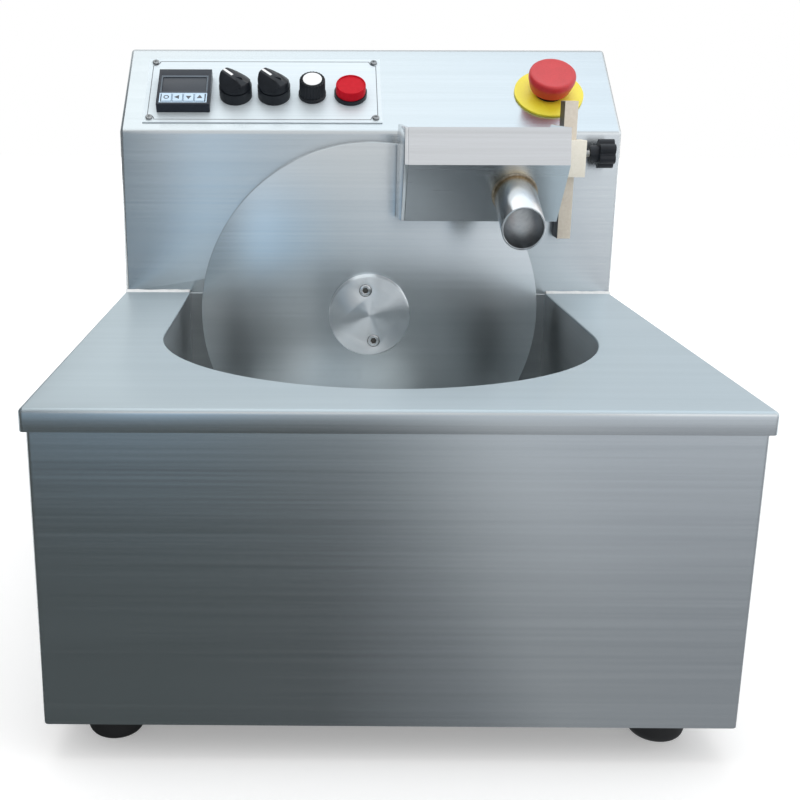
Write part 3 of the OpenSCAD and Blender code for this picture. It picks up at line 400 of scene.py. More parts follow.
def lamp_red():
    """A red lens that lets a little light into its skin."""
    finish, tree, shader = new_finish("lamp_lens")
    cloud = grain(tree, (250, 250, 250), 2.0)
    tree.links.new(shades(tree, cloud, (0.3, (0.56, 0.008, 0.02)), (0.7, (0.61, 0.011, 0.025))),
                   shader.inputs["Base Color"])
    tree.links.new(between(tree, cloud, 0.3, 0.4), shader.inputs["Roughness"])
    shader.inputs["Specular IOR Level"].default_value = 0.06
    shader.inputs["Subsurface Weight"].default_value = 0.15
    shader.inputs["Subsurface Radius"].default_value = (0.004, 0.0006, 0.0006)
    relief(tree, shader, cloud, 0.01 * MM, 0.3)
    return finish


def plate_silver():
    """Anodised plate: satin, nearly white, with very fine brushing."""
    finish, tree, shader = new_finish("plate_silver")
    fine = grain(tree, (6, 900, 900), 4.0, 0.6)
    tree.links.new(shades(tree, fine, (0.3, (0.62, 0.69, 0.73)), (0.7, (0.69, 0.76, 0.80))),
                   shader.inputs["Base Color"])
    tree.links.new(between(tree, fine, 0.38, 0.5), shader.inputs["Roughness"])
    shader.inputs["Metallic"].default_value = 0.25
    relief(tree, shader, fine, 0.01 * MM, 0.4)
    return finish


def spout_steel():
    """Drawn tube with a straw and brown heat tint near its weld."""
    finish, tree, shader = new_finish("spout_steel")
    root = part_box("spout_tube")[1]
    lean = math.radians(25)
    fine = grain(tree, (500, 60, 60), 3.0, 0.55)
    along = tree.nodes.new("ShaderNodeVectorMath")
    along.operation = "DOT_PRODUCT"
    along.inputs[1].default_value = (0.0, -math.cos(lean), -math.sin(lean))
    tree.links.new(shifted_place(tree, Vector((0.0, root.y, root.z))), along.inputs[0])
    wavy = sum_of(tree, along.outputs["Value"], grain(tree, (90, 90, 90), 3.0), 0.012)
    tree.links.new(
        shades(tree, between(tree, wavy, 0.0, 1.0, 0.012, 0.046),
               (0.0, (0.40, 0.31, 0.20)), (0.25, (0.62, 0.50, 0.32)), (0.5, (0.68, 0.62, 0.52)),
               (1.0, (0.66, 0.67, 0.68))),
        shader.inputs["Base Color"])
    tree.links.new(between(tree, fine, 0.14, 0.26), shader.inputs["Roughness"])
    shader.inputs["Metallic"].default_value = 1.0
    relief(tree, shader, fine, 0.012 * MM, 0.4)
    return finish


def trough_under_painted_reflection():
    """The trough's lower face with painted reflection and shade: darker to the left of the spout, lighter to
    its right.
    """
    finish, tree, shader = new_finish("trough_under_painted_reflection")
    fine = grain(tree, (4, 600, 600), 4.0, 0.6)
    across = sum_of(tree, place_along(tree)["X"], fine, 0.006)
    tree.links.new(
        shades(tree, between(tree, across, 0.0, 1.0, 0.09, 0.14),
               (0.0, (0.34, 0.36, 0.38)), (1.0, (0.70, 0.74, 0.77))),
        shader.inputs["Base Color"])
    tree.links.new(between(tree, fine, 0.22, 0.28), shader.inputs["Roughness"])
    shader.inputs["Metallic"].default_value = 1.0
    relief(tree, shader, fine, 0.002 * MM, 0.2)
    return finish


lens_red = lamp_red()
# The trough's lower face: painted reflection and shade, dark left of the spout, light to its right
trough_painted_reflection_steel = trough_under_painted_reflection()
silver_plate = plate_silver()
tinted_tube = spout_steel()
# Dark steel for the hub's holes and the screws' sockets: painted shade in recesses
bore_painted_shade = plain_metal("hub_bore_painted_shade", (0.10, 0.10, 0.095), (0.20, 0.19, 0.175), (0.4, 0.6), 200, 0.05 * MM)
# Darker steel for the spout's inside: painted shade in the bore
spout_bore_painted_shade = plain_metal("spout_bore_painted_shade", (0.24, 0.255, 0.27), (0.34, 0.355, 0.37), (0.3, 0.42), 200, 0.03 * MM)
weld_metal = plain_metal("weld_bead", (0.20, 0.165, 0.12), (0.40, 0.35, 0.28), (0.3, 0.45), 600, 0.06 * MM)

# CAD nodes that stay as they are

carried = {
    "base_plate": side_steel, "cover_screws": screw_metal, "foot_screws": screw_metal,
    "wheel_back_plate": wheel_steel, "wheel_shaft": bright_metal, "shaft_seal": rubber,
    "bearing_housing": dark_metal, "shaft_bearing": screw_metal, "shaft_coupling": dark_metal,
    "gearbox": dark_metal, "gearbox_shaft": bright_metal, "drive_motor": dark_metal,
    "motor_bracket": side_steel, "heater_mat": heater_skin, "insulation_pad": wool,
    "temperature_probe": bright_metal, "motor_driver": green_case, "post_screws": screw_metal,
    "block_screws": screw_metal, "clamp_pad": soft_tip, "plate_screws": plate_screw_metal,
    "speed_pot": dark_metal, "estop_plunger": black_plastic,
    "estop_body": black_plastic, "heat_switch_body": black_plastic, "wheel_switch_body": black_plastic,
    "lamp_body": black_plastic,
}
for node_name, finish in carried.items():
    cad[node_name].data.materials.clear()
    cad[node_name].data.materials.append(finish)


# Body

def upright(a, b):
    """Whether an edge between two points stands upright."""
    return abs(a.z - b.z) > 5 * MM and abs(a.x - b.x) + abs(a.y - b.y) < 0.5 * MM


def mark_sides(shape):
    """Gives the second finish to the faces that look left or right."""
    for face in shape.faces:
        face.material_index = 1 if abs(face.normal.x) > 0.7 else 0


def base():
    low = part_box("base_wrap")[0]
    shape = merged_copy("base_wrap")
    corners = sharp_edges(shape, lambda a, b: upright(a, b) and a.y < low.y + 2 * NEAR)
    round_off(shape, corners, bend_round, 5)
    hems = sharp_edges(shape, lambda a, b: max(a.z, b.z) < low.z + 2 * NEAR, 60)
    round_off(shape, hems, 0.4 * MM, 2)
    mark_sides(shape)
    keep(shape, "base_skin", "machine", [front_steel, side_steel], ["base_wrap"])


def deck():
    low, high = deck_low, deck_high
    shape = merged_copy("deck")

    def outer(a, b):
        """The deck's outer rim and the two front corners of its lip."""
        top = min(a.z, b.z) > high.z - NEAR
        edge = max(a.y, b.y) < low.y + NEAR or min(abs(a.x), abs(b.x)) > high.x - NEAR
        corner = upright(a, b) and a.y < low.y + NEAR and abs(a.x) > high.x - NEAR
        return (top and edge) or corner

    round_off(shape, sharp_edges(shape, outer), bend_round, 6, False)

    def opening(a, b):
        """The rim of the opening over the tank, in front of the console."""
        on_top = min(a.z, b.z) > high.z - NEAR
        inside = max(abs(a.x), abs(b.x)) < high.x - 20 * MM
        return on_top and inside and max(a.y, b.y) < console_face + 1 * MM

    round_off(shape, sharp_edges(shape, opening), 1.1 * MM, 4, False)
    hems = sharp_edges(shape, lambda a, b: max(a.z, b.z) < high.z - 10 * MM, 60)
    round_off(shape, hems, 0.4 * MM, 2)
    for face in shape.faces:
        if abs(face.normal.x) > 0.9 and abs(face.calc_center_median().x) > high.x - 15 * MM:
            face.material_index = 1
        elif face.normal.y < -0.9:
            face.material_index = 2
    keep(shape, "deck_skin", "machine", [deck_steel, side_steel, face_steel], ["deck"])


def tank():
    shape = merged_copy("tank")
    # Faces of the rear wall behind the wheel get the painted shade
    for face in shape.faces:
        behind_wheel = face.calc_center_median().y > wheel_high.y
        face.material_index = 1 if face.normal.y < -0.9 and behind_wheel else 0
    keep(shape, "tank_bowl", "machine", [tank_painted_light_steel, tank_back_painted_shade], ["tank"])


def console():
    low, high = console_low, console_high
    shape = merged_copy("console_shell")

    def bends(a, b):
        """The bends that run from side to side, above the deck and in front of the rear cover."""
        along = abs(a.x - b.x) > 20 * MM and abs(a.y - b.y) + abs(a.z - b.z) < 2 * NEAR
        outside = a.y < low.y + NEAR or a.z > high.z - NEAR
        return along and outside and a.z > deck_top + 10 * MM and a.y < high.y - 5 * MM

    def flanks(a, b):
        """The edges between the two sides and the face, the slope and the top."""
        outside = min(abs(a.x), abs(b.x)) > high.x - NEAR and (a.x > 0) == (b.x > 0)
        on_face = max(a.y, b.y) < low.y + NEAR
        on_top = min(a.z, b.z) > high.z - NEAR
        on_slope = abs(a.y - b.y) > 20 * MM and abs(a.z - b.z) > 20 * MM
        return outside and (on_face or on_top or on_slope)

    picked = [e for e in sharp_edges(shape, None, 20)
              if bends(e.verts[0].co, e.verts[1].co) or flanks(e.verts[0].co, e.verts[1].co)]
    round_off(shape, picked, bend_round, 5, False)
    mark_sides(shape)
    keep(shape, "console_skin", "machine", [face_steel, side_steel], ["console_shell"])


def rear_cover():
    low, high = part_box("rear_cover")
    shape = merged_copy("rear_cover")
    rims = sharp_edges(shape, lambda a, b: min(a.y, b.y) > high.y - NEAR, 60)
    round_off(shape, rims, 0.35 * MM, 2)
    keep(shape, "rear_cover_skin", "machine", face_steel, ["rear_cover"], 20)
    hood_size = (77 * MM, 3.4 * MM, 6.4 * MM)
    column = 52.5 * MM
    first_row = low.z + 61.2 * MM
    row_pitch = 11 * MM
    hoods = []
    for side in (-1, 1):
        for row in range(9):
            hood = block(hood_size)
            open_faces = [f for f in hood.faces if f.normal.z < -0.9 or f.normal.y < -0.9]
            bmesh.ops.delete(hood, geom=open_faces, context="FACES")
            crown = [e for e in hood.edges if len(e.link_faces) == 2]
            round_off(hood, crown, 2.2 * MM, 5)
            bmesh.ops.solidify(hood, geom=hood.faces, thickness=0.8 * MM)
            place = (side * column, high.y + 1.5 * MM, first_row + row_pitch * row)
            bmesh.ops.translate(hood, verts=hood.verts, vec=place)
            hoods.append(hood)
    keep(joined(*hoods), "louvre_hoods", "machine", face_steel)


def feet():
    shape = merged_copy("rubber_feet")
    keep(shape, "foot_pads", "machine", rubber, ["rubber_feet"], 40)


def sealant_bead():
    """A bead laid by hand: it swells and thins along its length."""
    shape = merged_copy("deck_sealant")
    long_edges = [e for e in shape.edges if abs(e.verts[0].co.x - e.verts[1].co.x) > 20 * MM]
    bmesh.ops.subdivide_edges(shape, edges=long_edges, cuts=60, use_grid_fill=True)
    waves = 160
    most = 0.45 * MM
    for vert in shape.verts:
        swell = noise.noise((vert.co.x * waves, 3.1, 0.7)) * most
        if vert.co.z > deck_top + 0.5 * MM:
            vert.co.z += swell
        elif vert.co.y < console_face - 0.5 * MM:
            vert.co.y -= swell
    keep(shape, "sealant_bead", "machine", sealant, ["deck_sealant"], 70)


def power_gland():
    shape = eased_copy("power_gland", 0.5 * MM, 2, 50)
    keep(shape, "cable_gland", "machine", black_plastic, ["power_gland"])


# Wheel and scraper

# The spout's place across, the trough's upright band, and the drop and run of its sloped lower face
SPOUT_X = 108 * MM
BAND_HEIGHT = 28 * MM
LOWER_DROP = 45 * MM
LOWER_RUN = 21 * MM


def wheel():
    shape = merged_copy("wheel_drum")

    def rim(a, b):
        """The edge between the wheel's front face and its rim."""
        far = min(math.hypot(p.x, p.z - axle.z) for p in (a, b)) > wheel_radius - 1 * MM
        return far and max(a.y, b.y) < wheel_face + NEAR

    round_off(shape, sharp_edges(shape, rim, 60), 0.3 * MM, 3, False)
    keep(shape, "wheel_disc", "wheel", wheel_steel, ["wheel_drum"])
    hub_low, hub_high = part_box("hub_cap")
    cap = merged_copy("hub_cap")
    holes = sharp_edges(cap, lambda a, b: max(a.y, b.y) < hub_low.y + NEAR, 60)
    round_off(cap, holes, 0.4 * MM, 2)
    # The walls of the cap's screw holes get painted shade
    for face in cap.faces:
        centre = face.calc_center_median()
        inside = math.hypot(centre.x, centre.z - axle.z) < (hub_high.x - hub_low.x) / 2 - 2 * MM
        face.material_index = 1 if inside and centre.y > hub_low.y + 0.4 * MM else 0
    keep(cap, "hub_disc", "wheel", [hub_painted_light_steel, bore_painted_shade], ["hub_cap"])
    bolts = merged_copy("hub_screws")
    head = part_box("hub_screws")[0].y
    bolt_aside = 3.75 * MM
    bolt_rise = 21.7 * MM
    round_off(bolts, sharp_edges(bolts, lambda a, b: max(a.y, b.y) < head + NEAR, 60), 0.4 * MM, 2)
    # The screws' socket walls and floors get painted shade
    for face in bolts.faces:
        centre = face.calc_center_median()
        side = math.copysign(1.0, centre.z - axle.z)
        aside = Vector((centre.x + side * bolt_aside, 0.0, centre.z - axle.z - side * bolt_rise))
        socket_wall = abs(face.normal.y) < 0.5 and face.normal.dot(aside) < 0
        socket_floor = face.normal.y < -0.9 and centre.y > head + 0.5 * MM
        face.material_index = 1 if socket_wall or socket_floor else 0
    keep(bolts, "hub_bolts", "wheel", [bright_metal, bore_painted_shade], ["hub_screws"])


def spout_line():
    """Where the spout leaves the trough's lower face, and the way it runs."""
    face_low, face_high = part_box("scraper_trough")
    root = Vector((SPOUT_X, face_low.y + LOWER_RUN / 2, face_high.z - BAND_HEIGHT - LOWER_DROP / 2))
    lean = math.atan2(LOWER_RUN, LOWER_DROP)
    return root, Vector((0.0, -math.cos(lean), -math.sin(lean)))


def scraper():
    blade = eased_copy("scraper_blade", 0.5 * MM, 3, 25)
    keep(blade, "blade_plate", "scraper", trough_steel, ["scraper_blade"])
    trough = merged_copy("scraper_trough")
    # Faces that look down get the lower face's painted reflection and shade
    for face in trough.faces:
        face.material_index = 1 if face.normal.z < -0.2 else 0
    keep(trough, "trough_sheet", "scraper", [trough_steel, trough_painted_reflection_steel],
         ["scraper_trough"], 20)
    tube = eased_copy("spout_tube", 0.35 * MM, 2, 50)
    root, way = spout_line()
    # The spout's inside faces get painted shade
    for face in tube.faces:
        aside = face.calc_center_median() - root
        aside -= way * aside.dot(way)
        face.material_index = 1 if face.normal.dot(aside.normalized()) < -0.5 else 0
    keep(tube, "spout_pipe", "scraper", [tinted_tube, spout_bore_painted_shade], ["spout_tube"], 40)


def spout_weld():
    """The bead where the spout is welded to the trough's lower face."""
    bead_radius = 1.3 * MM
    ring_radius = 16.6 * MM
    ripples = 40
    ripple = 0.012
    bead = bmesh.new()
    bmesh.ops.create_circle(bead, cap_ends=False, radius=bead_radius, segments=10)
    bmesh.ops.rotate(bead, verts=bead.verts, matrix=Matrix.Rotation(math.pi / 2, 3, "X"))
    bmesh.ops.translate(bead, verts=bead.verts, vec=(ring_radius, 0, 0))
    bmesh.ops.spin(bead, geom=bead.verts[:] + bead.edges[:], cent=(0, 0, 0), axis=(0, 0, 1),
                   angle=math.tau, steps=120, use_merge=True)
    bmesh.ops.remove_doubles(bead, verts=bead.verts, dist=1e-6)
    bmesh.ops.recalc_face_normals(bead, faces=bead.faces)
    for vert in bead.verts:
        swell = 1 + ripple * math.sin(ripples * math.atan2(vert.co.y, vert.co.x))
        vert.co.x *= swell
        vert.co.y *= swell
    root, way = spout_line()
    move(bead, Matrix.Translation(root) @ way.to_track_quat("Z", "Y").to_matrix().to_4x4())
    keep(bead, "spout_weld", "scraper", weld_metal)


def clamp():
    post = merged_copy("scraper_post")
    # The post's left flank gets the painted shade
    for face in post.faces:
        face.material_index = 1 if face.normal.x < -0.7 else 0
    round_off(post, sharp_edges(post, None, 60), 0.5 * MM, 3)
    keep(post, "post_bar", "machine", [tan_plastic, post_flank_painted_shade], ["scraper_post"])
    jaw = eased_copy("clamp_block", 0.6 * MM, 3)
    keep(jaw, "clamp_jaw", "scraper", cream_plastic, ["clamp_block"])
    star = merged_copy("clamp_knob")
    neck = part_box("clamp_knob")[0].x + 3 * MM
    ends = sharp_edges(star, lambda a, b: min(a.x, b.x) > neck, 60)
    round_off(star, ends, 2.2 * MM, 5)
    keep(star, "star_knob", "clamp_screw", black_plastic, ["clamp_knob"])
    threaded_stud()


def threaded_stud():
    """The clamp's stud, with a groove at each step of its thread."""
    low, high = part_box("clamp_stud")
    length = high.x - low.x
    crest = (high.z - low.z) / 2
    root = crest - 0.5 * MM
    pitch = 1.0 * MM
    profile = [(0.0, 0.0), (root, 0.0)]
    for turn in range(int(length / pitch)):
        profile.append((crest, (turn + 0.5) * pitch))
        profile.append((root, (turn + 1) * pitch))
    profile.append((root, length))
    profile.append((0.0, length))
    stud = turned(profile, 32)
    centre = (low + high) / 2
    move(stud, Matrix.Translation((low.x, centre.y, centre.z)) @ Matrix.Rotation(math.pi / 2, 4, "Y"))
    keep(stud, "threaded_stud", "clamp_screw", bright_metal, ["clamp_stud"])


# Control panel

# Places on the panel: X across, and the rise up the slope from its lower bend
PLATE_X = -92.5 * MM
PLATE_RISE = 51.5 * MM
CONTROLLER_X = -161 * MM
SWITCH_X = (-116.5 * MM, -83.1 * MM)
SPEED_X = -49.7 * MM
LAMP_X = -16.3 * MM
STOP_X = 157 * MM
STOP_RISE = 48 * MM

# The controller's face and its row of keys, and the heights of strips and prints
CONTROLLER_FACE = 10.0 * MM
KEY_PITCH = 9.6 * MM
KEY_ROW = -14.7 * MM
STRIP = 0.12 * MM
PRINT = 0.06 * MM


def notched_line(half_w, half_h, notch, inset):
    """Points round a plate, with a round notch at each corner, run a little inside the outline."""
    points = []
    arc_steps = 8
    spare = math.asin(inset / (notch + inset))
    for quarter, (x_side, y_side) in enumerate(((1, 1), (1, -1), (-1, -1), (-1, 1))):
        first = math.pi * (1 - quarter / 2) + spare
        for step in range(arc_steps + 1):
            turn = first + (math.pi / 2 - 2 * spare) * step / arc_steps
            points.append((x_side * half_w + (notch + inset) * math.cos(turn),
                           y_side * half_h + (notch + inset) * math.sin(turn), 0.0))
    return points


def plate():
    shape = merged_copy("control_plate")
    keep(shape, "panel_plate", "machine", silver_plate, ["control_plate"])
    margin = 3.4 * MM
    notch = 6.0 * MM
    line = 0.6 * MM
    half_w = plate_width / 2 - margin
    half_h = plate_height / 2 - margin
    border = bmesh.new()
    outer = [border.verts.new(point) for point in notched_line(half_w, half_h, notch, 0.0)]
    inner = [border.verts.new(point) for point in notched_line(half_w, half_h, notch, line)]
    for index in range(len(outer)):
        border.faces.new((outer[index - 1], outer[index], inner[index], inner[index - 1]))
    thicken(border, PRINT)
    move(border, on_panel(PLATE_X, PLATE_RISE, plate_thickness))
    keep(border, "plate_border", "machine", ink)


def thicken(sheet, height):
    """Raises a flat sheet into a thin solid print."""
    lifted = bmesh.ops.extrude_face_region(sheet, geom=sheet.faces[:])
    bmesh.ops.translate(sheet, vec=(0, 0, height),
                        verts=[part for part in lifted["geom"] if isinstance(part, bmesh.types.BMVert)])
    bmesh.ops.recalc_face_normals(sheet, faces=sheet.faces)


def controller():
    shape = eased_copy("controller_body", 0.5 * MM, 3)
    keep(shape, "controller_case", "machine", gloss_black, ["controller_body"])
    glass = block((37.6 * MM, 18.6 * MM, 0.5 * MM), (0, 2.6 * MM, CONTROLLER_FACE - 0.55 * MM))
    round_off(glass, sharp_edges(glass), 0.15 * MM, 2)
    move(glass, on_panel(CONTROLLER_X, device_rise))
    keep(glass, "display_window", "machine", display, ["controller_window"])
    face_strips("display_surround", slate, (
        (41 * MM, 2.2 * MM, 0.0, 13.5 * MM), (41 * MM, 1.2 * MM, 0.0, -7.7 * MM),
        (1.4 * MM, 20 * MM, -19.8 * MM, 2.6 * MM), (1.4 * MM, 20 * MM, 19.8 * MM, 2.6 * MM),
    ))
    borders = [(41 * MM, 0.9 * MM, 0.0, KEY_ROW + side * 5.6 * MM) for side in (1, -1)]
    ends = [(1.0 * MM, 10.4 * MM, side * 20 * MM, KEY_ROW) for side in (-1, 1)]
    gaps = [(0.5 * MM, 10.4 * MM, step * KEY_PITCH, KEY_ROW) for step in (-1, 0, 1)]
    face_strips("key_strip", key_blue, borders + ends + gaps)
    for number in range(4):
        cap = eased_copy(f"controller_key_{number + 1}", 0.3 * MM, 2)
        keep(cap, f"key_cap_{number + 1}", f"key_{number + 1}", key_blue,
             [f"controller_key_{number + 1}"])
        at = on_panel(CONTROLLER_X + (number - 1.5) * KEY_PITCH, device_rise + KEY_ROW,
                      CONTROLLER_FACE + 0.8 * MM)
        sign = key_sign(number)
        move(sign, at)
        keep(sign, f"key_mark_{number + 1}", f"key_{number + 1}", ink)


def face_strips(name, finish, strips):
    """Thin strips on the controller's face, each with its width, height, and place across and up."""
    at = on_panel(CONTROLLER_X, device_rise)
    shapes = []
    for width, height, across, up in strips:
        shapes.append(move(block((width, height, STRIP), (across, up, CONTROLLER_FACE)), at))
    keep(joined(*shapes), name, "machine", finish)


def key_sign(number):
    """Plain marks: a ring to set, then arrows to step aside, down and up."""
    sign = bmesh.new()
    if number == 0:
        bmesh.ops.create_circle(sign, cap_ends=True, radius=2.4 * MM, segments=32)
        bmesh.ops.inset_region(sign, faces=sign.faces[:], thickness=0.9 * MM, use_boundary=True)
        bmesh.ops.delete(sign, geom=[f for f in sign.faces if len(f.verts) > 4], context="FACES")
    else:
        bmesh.ops.create_circle(sign, cap_ends=True, radius=2.9 * MM, segments=3)
        turn = (0, 90, 180, 0)[number]
        bmesh.ops.rotate(sign, verts=sign.verts, matrix=Matrix.Rotation(math.radians(turn), 3, "Z"))
    thicken(sign, PRINT)
    return sign


def selector(number, body, node):
    """A beak-shaped selector: a round grip whose sides are cut away to a ridge with a white line."""
    top = plate_thickness + 10.3 * MM
    crest = top + 9.6 * MM
    hub_radius = 11.4 * MM
    beak = 2.2 * MM
    tail_drop = 2.0 * MM
    at = on_panel(SWITCH_X[number], device_rise) @ Matrix.Rotation(math.radians(45), 4, "Z")
    hub = turned([
        (0, top - 5 * MM), (hub_radius, top - 5 * MM), (hub_radius, top + 0.5 * MM), (0, top + 0.5 * MM),
    ])
    grip = turned([
        (0, top), (13.2 * MM, top), (13.6 * MM, top + 0.5 * MM), (13.5 * MM, top + 2.0 * MM),
        (12.6 * MM, crest - 0.8 * MM), (12.0 * MM, crest), (0, crest),
    ])
    for side in (-1, 1):
        shoulder = Vector((side * 13.2 * MM, 0, top + 2.2 * MM))
        ridge = Vector((side * 3.2 * MM, 0, crest))
        across = Vector((side * (ridge.z - shoulder.z), 0, abs(shoulder.x - ridge.x)))
        bmesh.ops.bisect_plane(grip, geom=grip.verts[:] + grip.edges[:] + grip.faces[:], plane_co=ridge,
                               plane_no=across, clear_outer=True)
        bmesh.ops.edgeloop_fill(grip, edges=[e for e in grip.edges if e.is_boundary])
    for vert in grip.verts:
        if vert.co.z > top + 4 * MM and vert.co.y > 6 * MM:
            vert.co.y += beak * (vert.co.z - top) / (crest - top)
        elif vert.co.z > crest - 2 * MM and vert.co.y < -6 * MM:
            vert.co.z -= tail_drop
    bmesh.ops.recalc_face_normals(grip, faces=grip.faces)
    round_off(grip, sharp_edges(grip, None, 28), 0.7 * MM, 3)
    keep(move(joined(hub, grip), at), f"{body}_grip", body, black_plastic, [node], 40)
    line = block((2.2 * MM, 11.0 * MM, 0.3 * MM))
    move(line, at @ Matrix.Translation((0, 8.4 * MM, crest)))
    keep(line, f"{body}_line", body, white_mark)


def speed_control():
    """A fluted knob with a bright cap."""
    base_lift = plate_thickness + 0.3 * MM
    points = 96
    flute = 0.955
    cap_seat = 8.35 / 10.2
    knob = bmesh.new()
    bmesh.ops.create_circle(knob, cap_ends=True, radius=12.0 * MM, segments=points)

    def rise(faces, height, factor):
        """Raises faces by a height and scales them about the knob's axis."""
        grown = bmesh.ops.extrude_face_region(knob, geom=faces)
        verts = [g for g in grown["geom"] if isinstance(g, bmesh.types.BMVert)]
        bmesh.ops.translate(knob, vec=(0, 0, height), verts=verts)
        bmesh.ops.scale(knob, vec=(factor, factor, 1.0), verts=verts)
        return [g for g in grown["geom"] if isinstance(g, bmesh.types.BMFace)], verts

    cap = rise(knob.faces[:], 2.6 * MM, 1.0)[0]
    cap = rise(cap, 0.4 * MM, 0.955)[0]
    cap, lower = rise(cap, 0.2 * MM, 0.985)
    cap, upper = rise(cap, 12.6 * MM, 0.985)
    for vert in lower + upper:
        spoke = round((math.atan2(vert.co.y, vert.co.x) % math.tau) / (math.tau / points))
        if spoke % 4 in (0, 1):
            vert.co.x *= flute
            vert.co.y *= flute
    for height, factor in ((0.7 * MM, 0.97), (0.5 * MM, 0.95), (0.0, cap_seat), (-0.8 * MM, 1.0)):
        cap = rise(cap, height, factor)[0]
    bmesh.ops.recalc_face_normals(knob, faces=knob.faces)
    move(knob, on_panel(SPEED_X, device_rise, base_lift))
    keep(knob, "speed_grip", "speed_control", black_plastic, ["speed_knob"], 28)
    disc = merged_copy("speed_knob_cap")
    keep(disc, "speed_cap", "speed_control", white_mark, ["speed_knob_cap"])


def lamp():
    """A pilot lamp's lens: a straight drum with a raised rim round its sunk top."""
    foot = plate_thickness + 2 * MM
    crown = foot + 10 * MM
    lens = turned([
        (0, foot), (13.0 * MM, foot), (13.0 * MM, crown - 0.9 * MM), (12.7 * MM, crown - 0.25 * MM),
        (12.1 * MM, crown), (11.7 * MM, crown - 0.25 * MM), (11.5 * MM, crown - 1.0 * MM),
        (10.6 * MM, crown - 1.15 * MM), (0, crown - 0.7 * MM),
    ], 128)
    move(lens, on_panel(LAMP_X, device_rise))
    keep(lens, "lamp_cap", "machine", lens_red, ["lamp_lens"], 50)


def emergency_stop():
    ring = eased_copy("estop_ring", 0.25 * MM, 2)
    keep(ring, "stop_ring", "machine", stop_yellow, ["estop_ring"])
    foot = 7.3 * MM
    head = turned([
        (0, foot), (16.4 * MM, foot), (17.2 * MM, foot + 0.4 * MM), (17.5 * MM, foot + 1.0 * MM),
        (19.9 * MM, foot + 8.8 * MM), (20.25 * MM, foot + 10.6 * MM), (20.25 * MM, foot + 13.4 * MM),
        (19.8 * MM, foot + 14.9 * MM), (18.9 * MM, foot + 15.8 * MM), (17.6 * MM, foot + 16.0 * MM),
        (16.2 * MM, foot + 15.7 * MM), (10.0 * MM, foot + 15.35 * MM), (0, foot + 15.2 * MM),
    ], 128)
    move(head, on_panel(STOP_X, STOP_RISE))
    keep(head, "stop_head", "estop_button", stop_red, ["estop_head"], 60)


base()
deck()
tank()
console()
rear_cover()
feet()
sealant_bead()
power_gland()
wheel()
scraper()
spout_weld()
clamp()
plate()
controller()
selector(0, "heat_switch", "heat_switch_lever")
selector(1, "wheel_switch", "wheel_switch_lever")
speed_control()
lamp()
emergency_stop()


# Stage, light and camera

def lit_rays(tree):
    """1 for camera, glossy and transmission rays, otherwise 0."""
    path = tree.nodes.new("ShaderNodeLightPath")
    first = tree.nodes.new("ShaderNodeMath")
    first.operation = "MAXIMUM"
    second = tree.nodes.new("ShaderNodeMath")
    second.operation = "MAXIMUM"
    tree.links.new(path.outputs["Is Camera Ray"], first.inputs[0])
    tree.links.new(path.outputs["Is Glossy Ray"], first.inputs[1])
    tree.links.new(first.outputs["Value"], second.inputs[0])
    tree.links.new(path.outputs["Is Transmission Ray"], second.inputs[1])
    return second.outputs["Value"]


def studio_world():
    """A white world, which lights matt surfaces at 0.88 of what the camera and reflections see."""
    world = bpy.data.worlds.new("studio")
    bpy.context.scene.world = world
    world.use_nodes = True
    tree = world.node_tree
    sky = tree.nodes["Background"]
    sky.inputs["Color"].default_value = (1.0, 1.0, 1.0, 1.0)
    tree.links.new(between(tree, lit_rays(tree), 0.88, 1.0, 0.0, 1.0), sky.inputs["Strength"])


def studio_floor():
    """Pale paper that shines by itself away from the machine and keeps its shadow close to it."""
    ground = bmesh.new()
    bmesh.ops.create_grid(ground, x_segments=1, y_segments=1, size=6.0)
    mesh = bpy.data.meshes.new("floor")
    ground.to_mesh(mesh)
    ground.free()
    floor = placed("floor", mesh)
    finish, tree, shader = new_finish("floor_paper")
    shader.inputs["Base Color"].default_value = (0.86, 0.86, 0.86, 1.0)
    shader.inputs["Roughness"].default_value = 1.0
    shader.inputs["Specular IOR Level"].default_value = 0.0
    shader.inputs["Emission Color"].default_value = (1.0, 1.0, 1.0, 1.0)
    place = tree.nodes.new("ShaderNodeTexCoord")
    away = tree.nodes.new("ShaderNodeVectorMath")
    away.operation = "LENGTH"
    shine = tree.nodes.new("ShaderNodeMath")
    shine.operation = "MULTIPLY"
    tree.links.new(place.outputs["Object"], away.inputs[0])
    tree.links.new(between(tree, away.outputs["Value"], 0.3, 1.0, 0.5, 2.2), shine.inputs[0])
    tree.links.new(lit_rays(tree), shine.inputs[1])
    tree.links.new(shine.outputs["Value"], shader.inputs["Emission Strength"])
    mesh.materials.append(finish)


def shining(name, strength):
    """A black finish that only gives off light."""
    finish, tree, shader = new_finish(name)
    shader.inputs["Base Color"].default_value = (0.0, 0.0, 0.0, 1.0)
    shader.inputs["Specular IOR Level"].default_value = 0.0
    shader.inputs["Emission Strength"].default_value = strength
    return finish, tree, shader


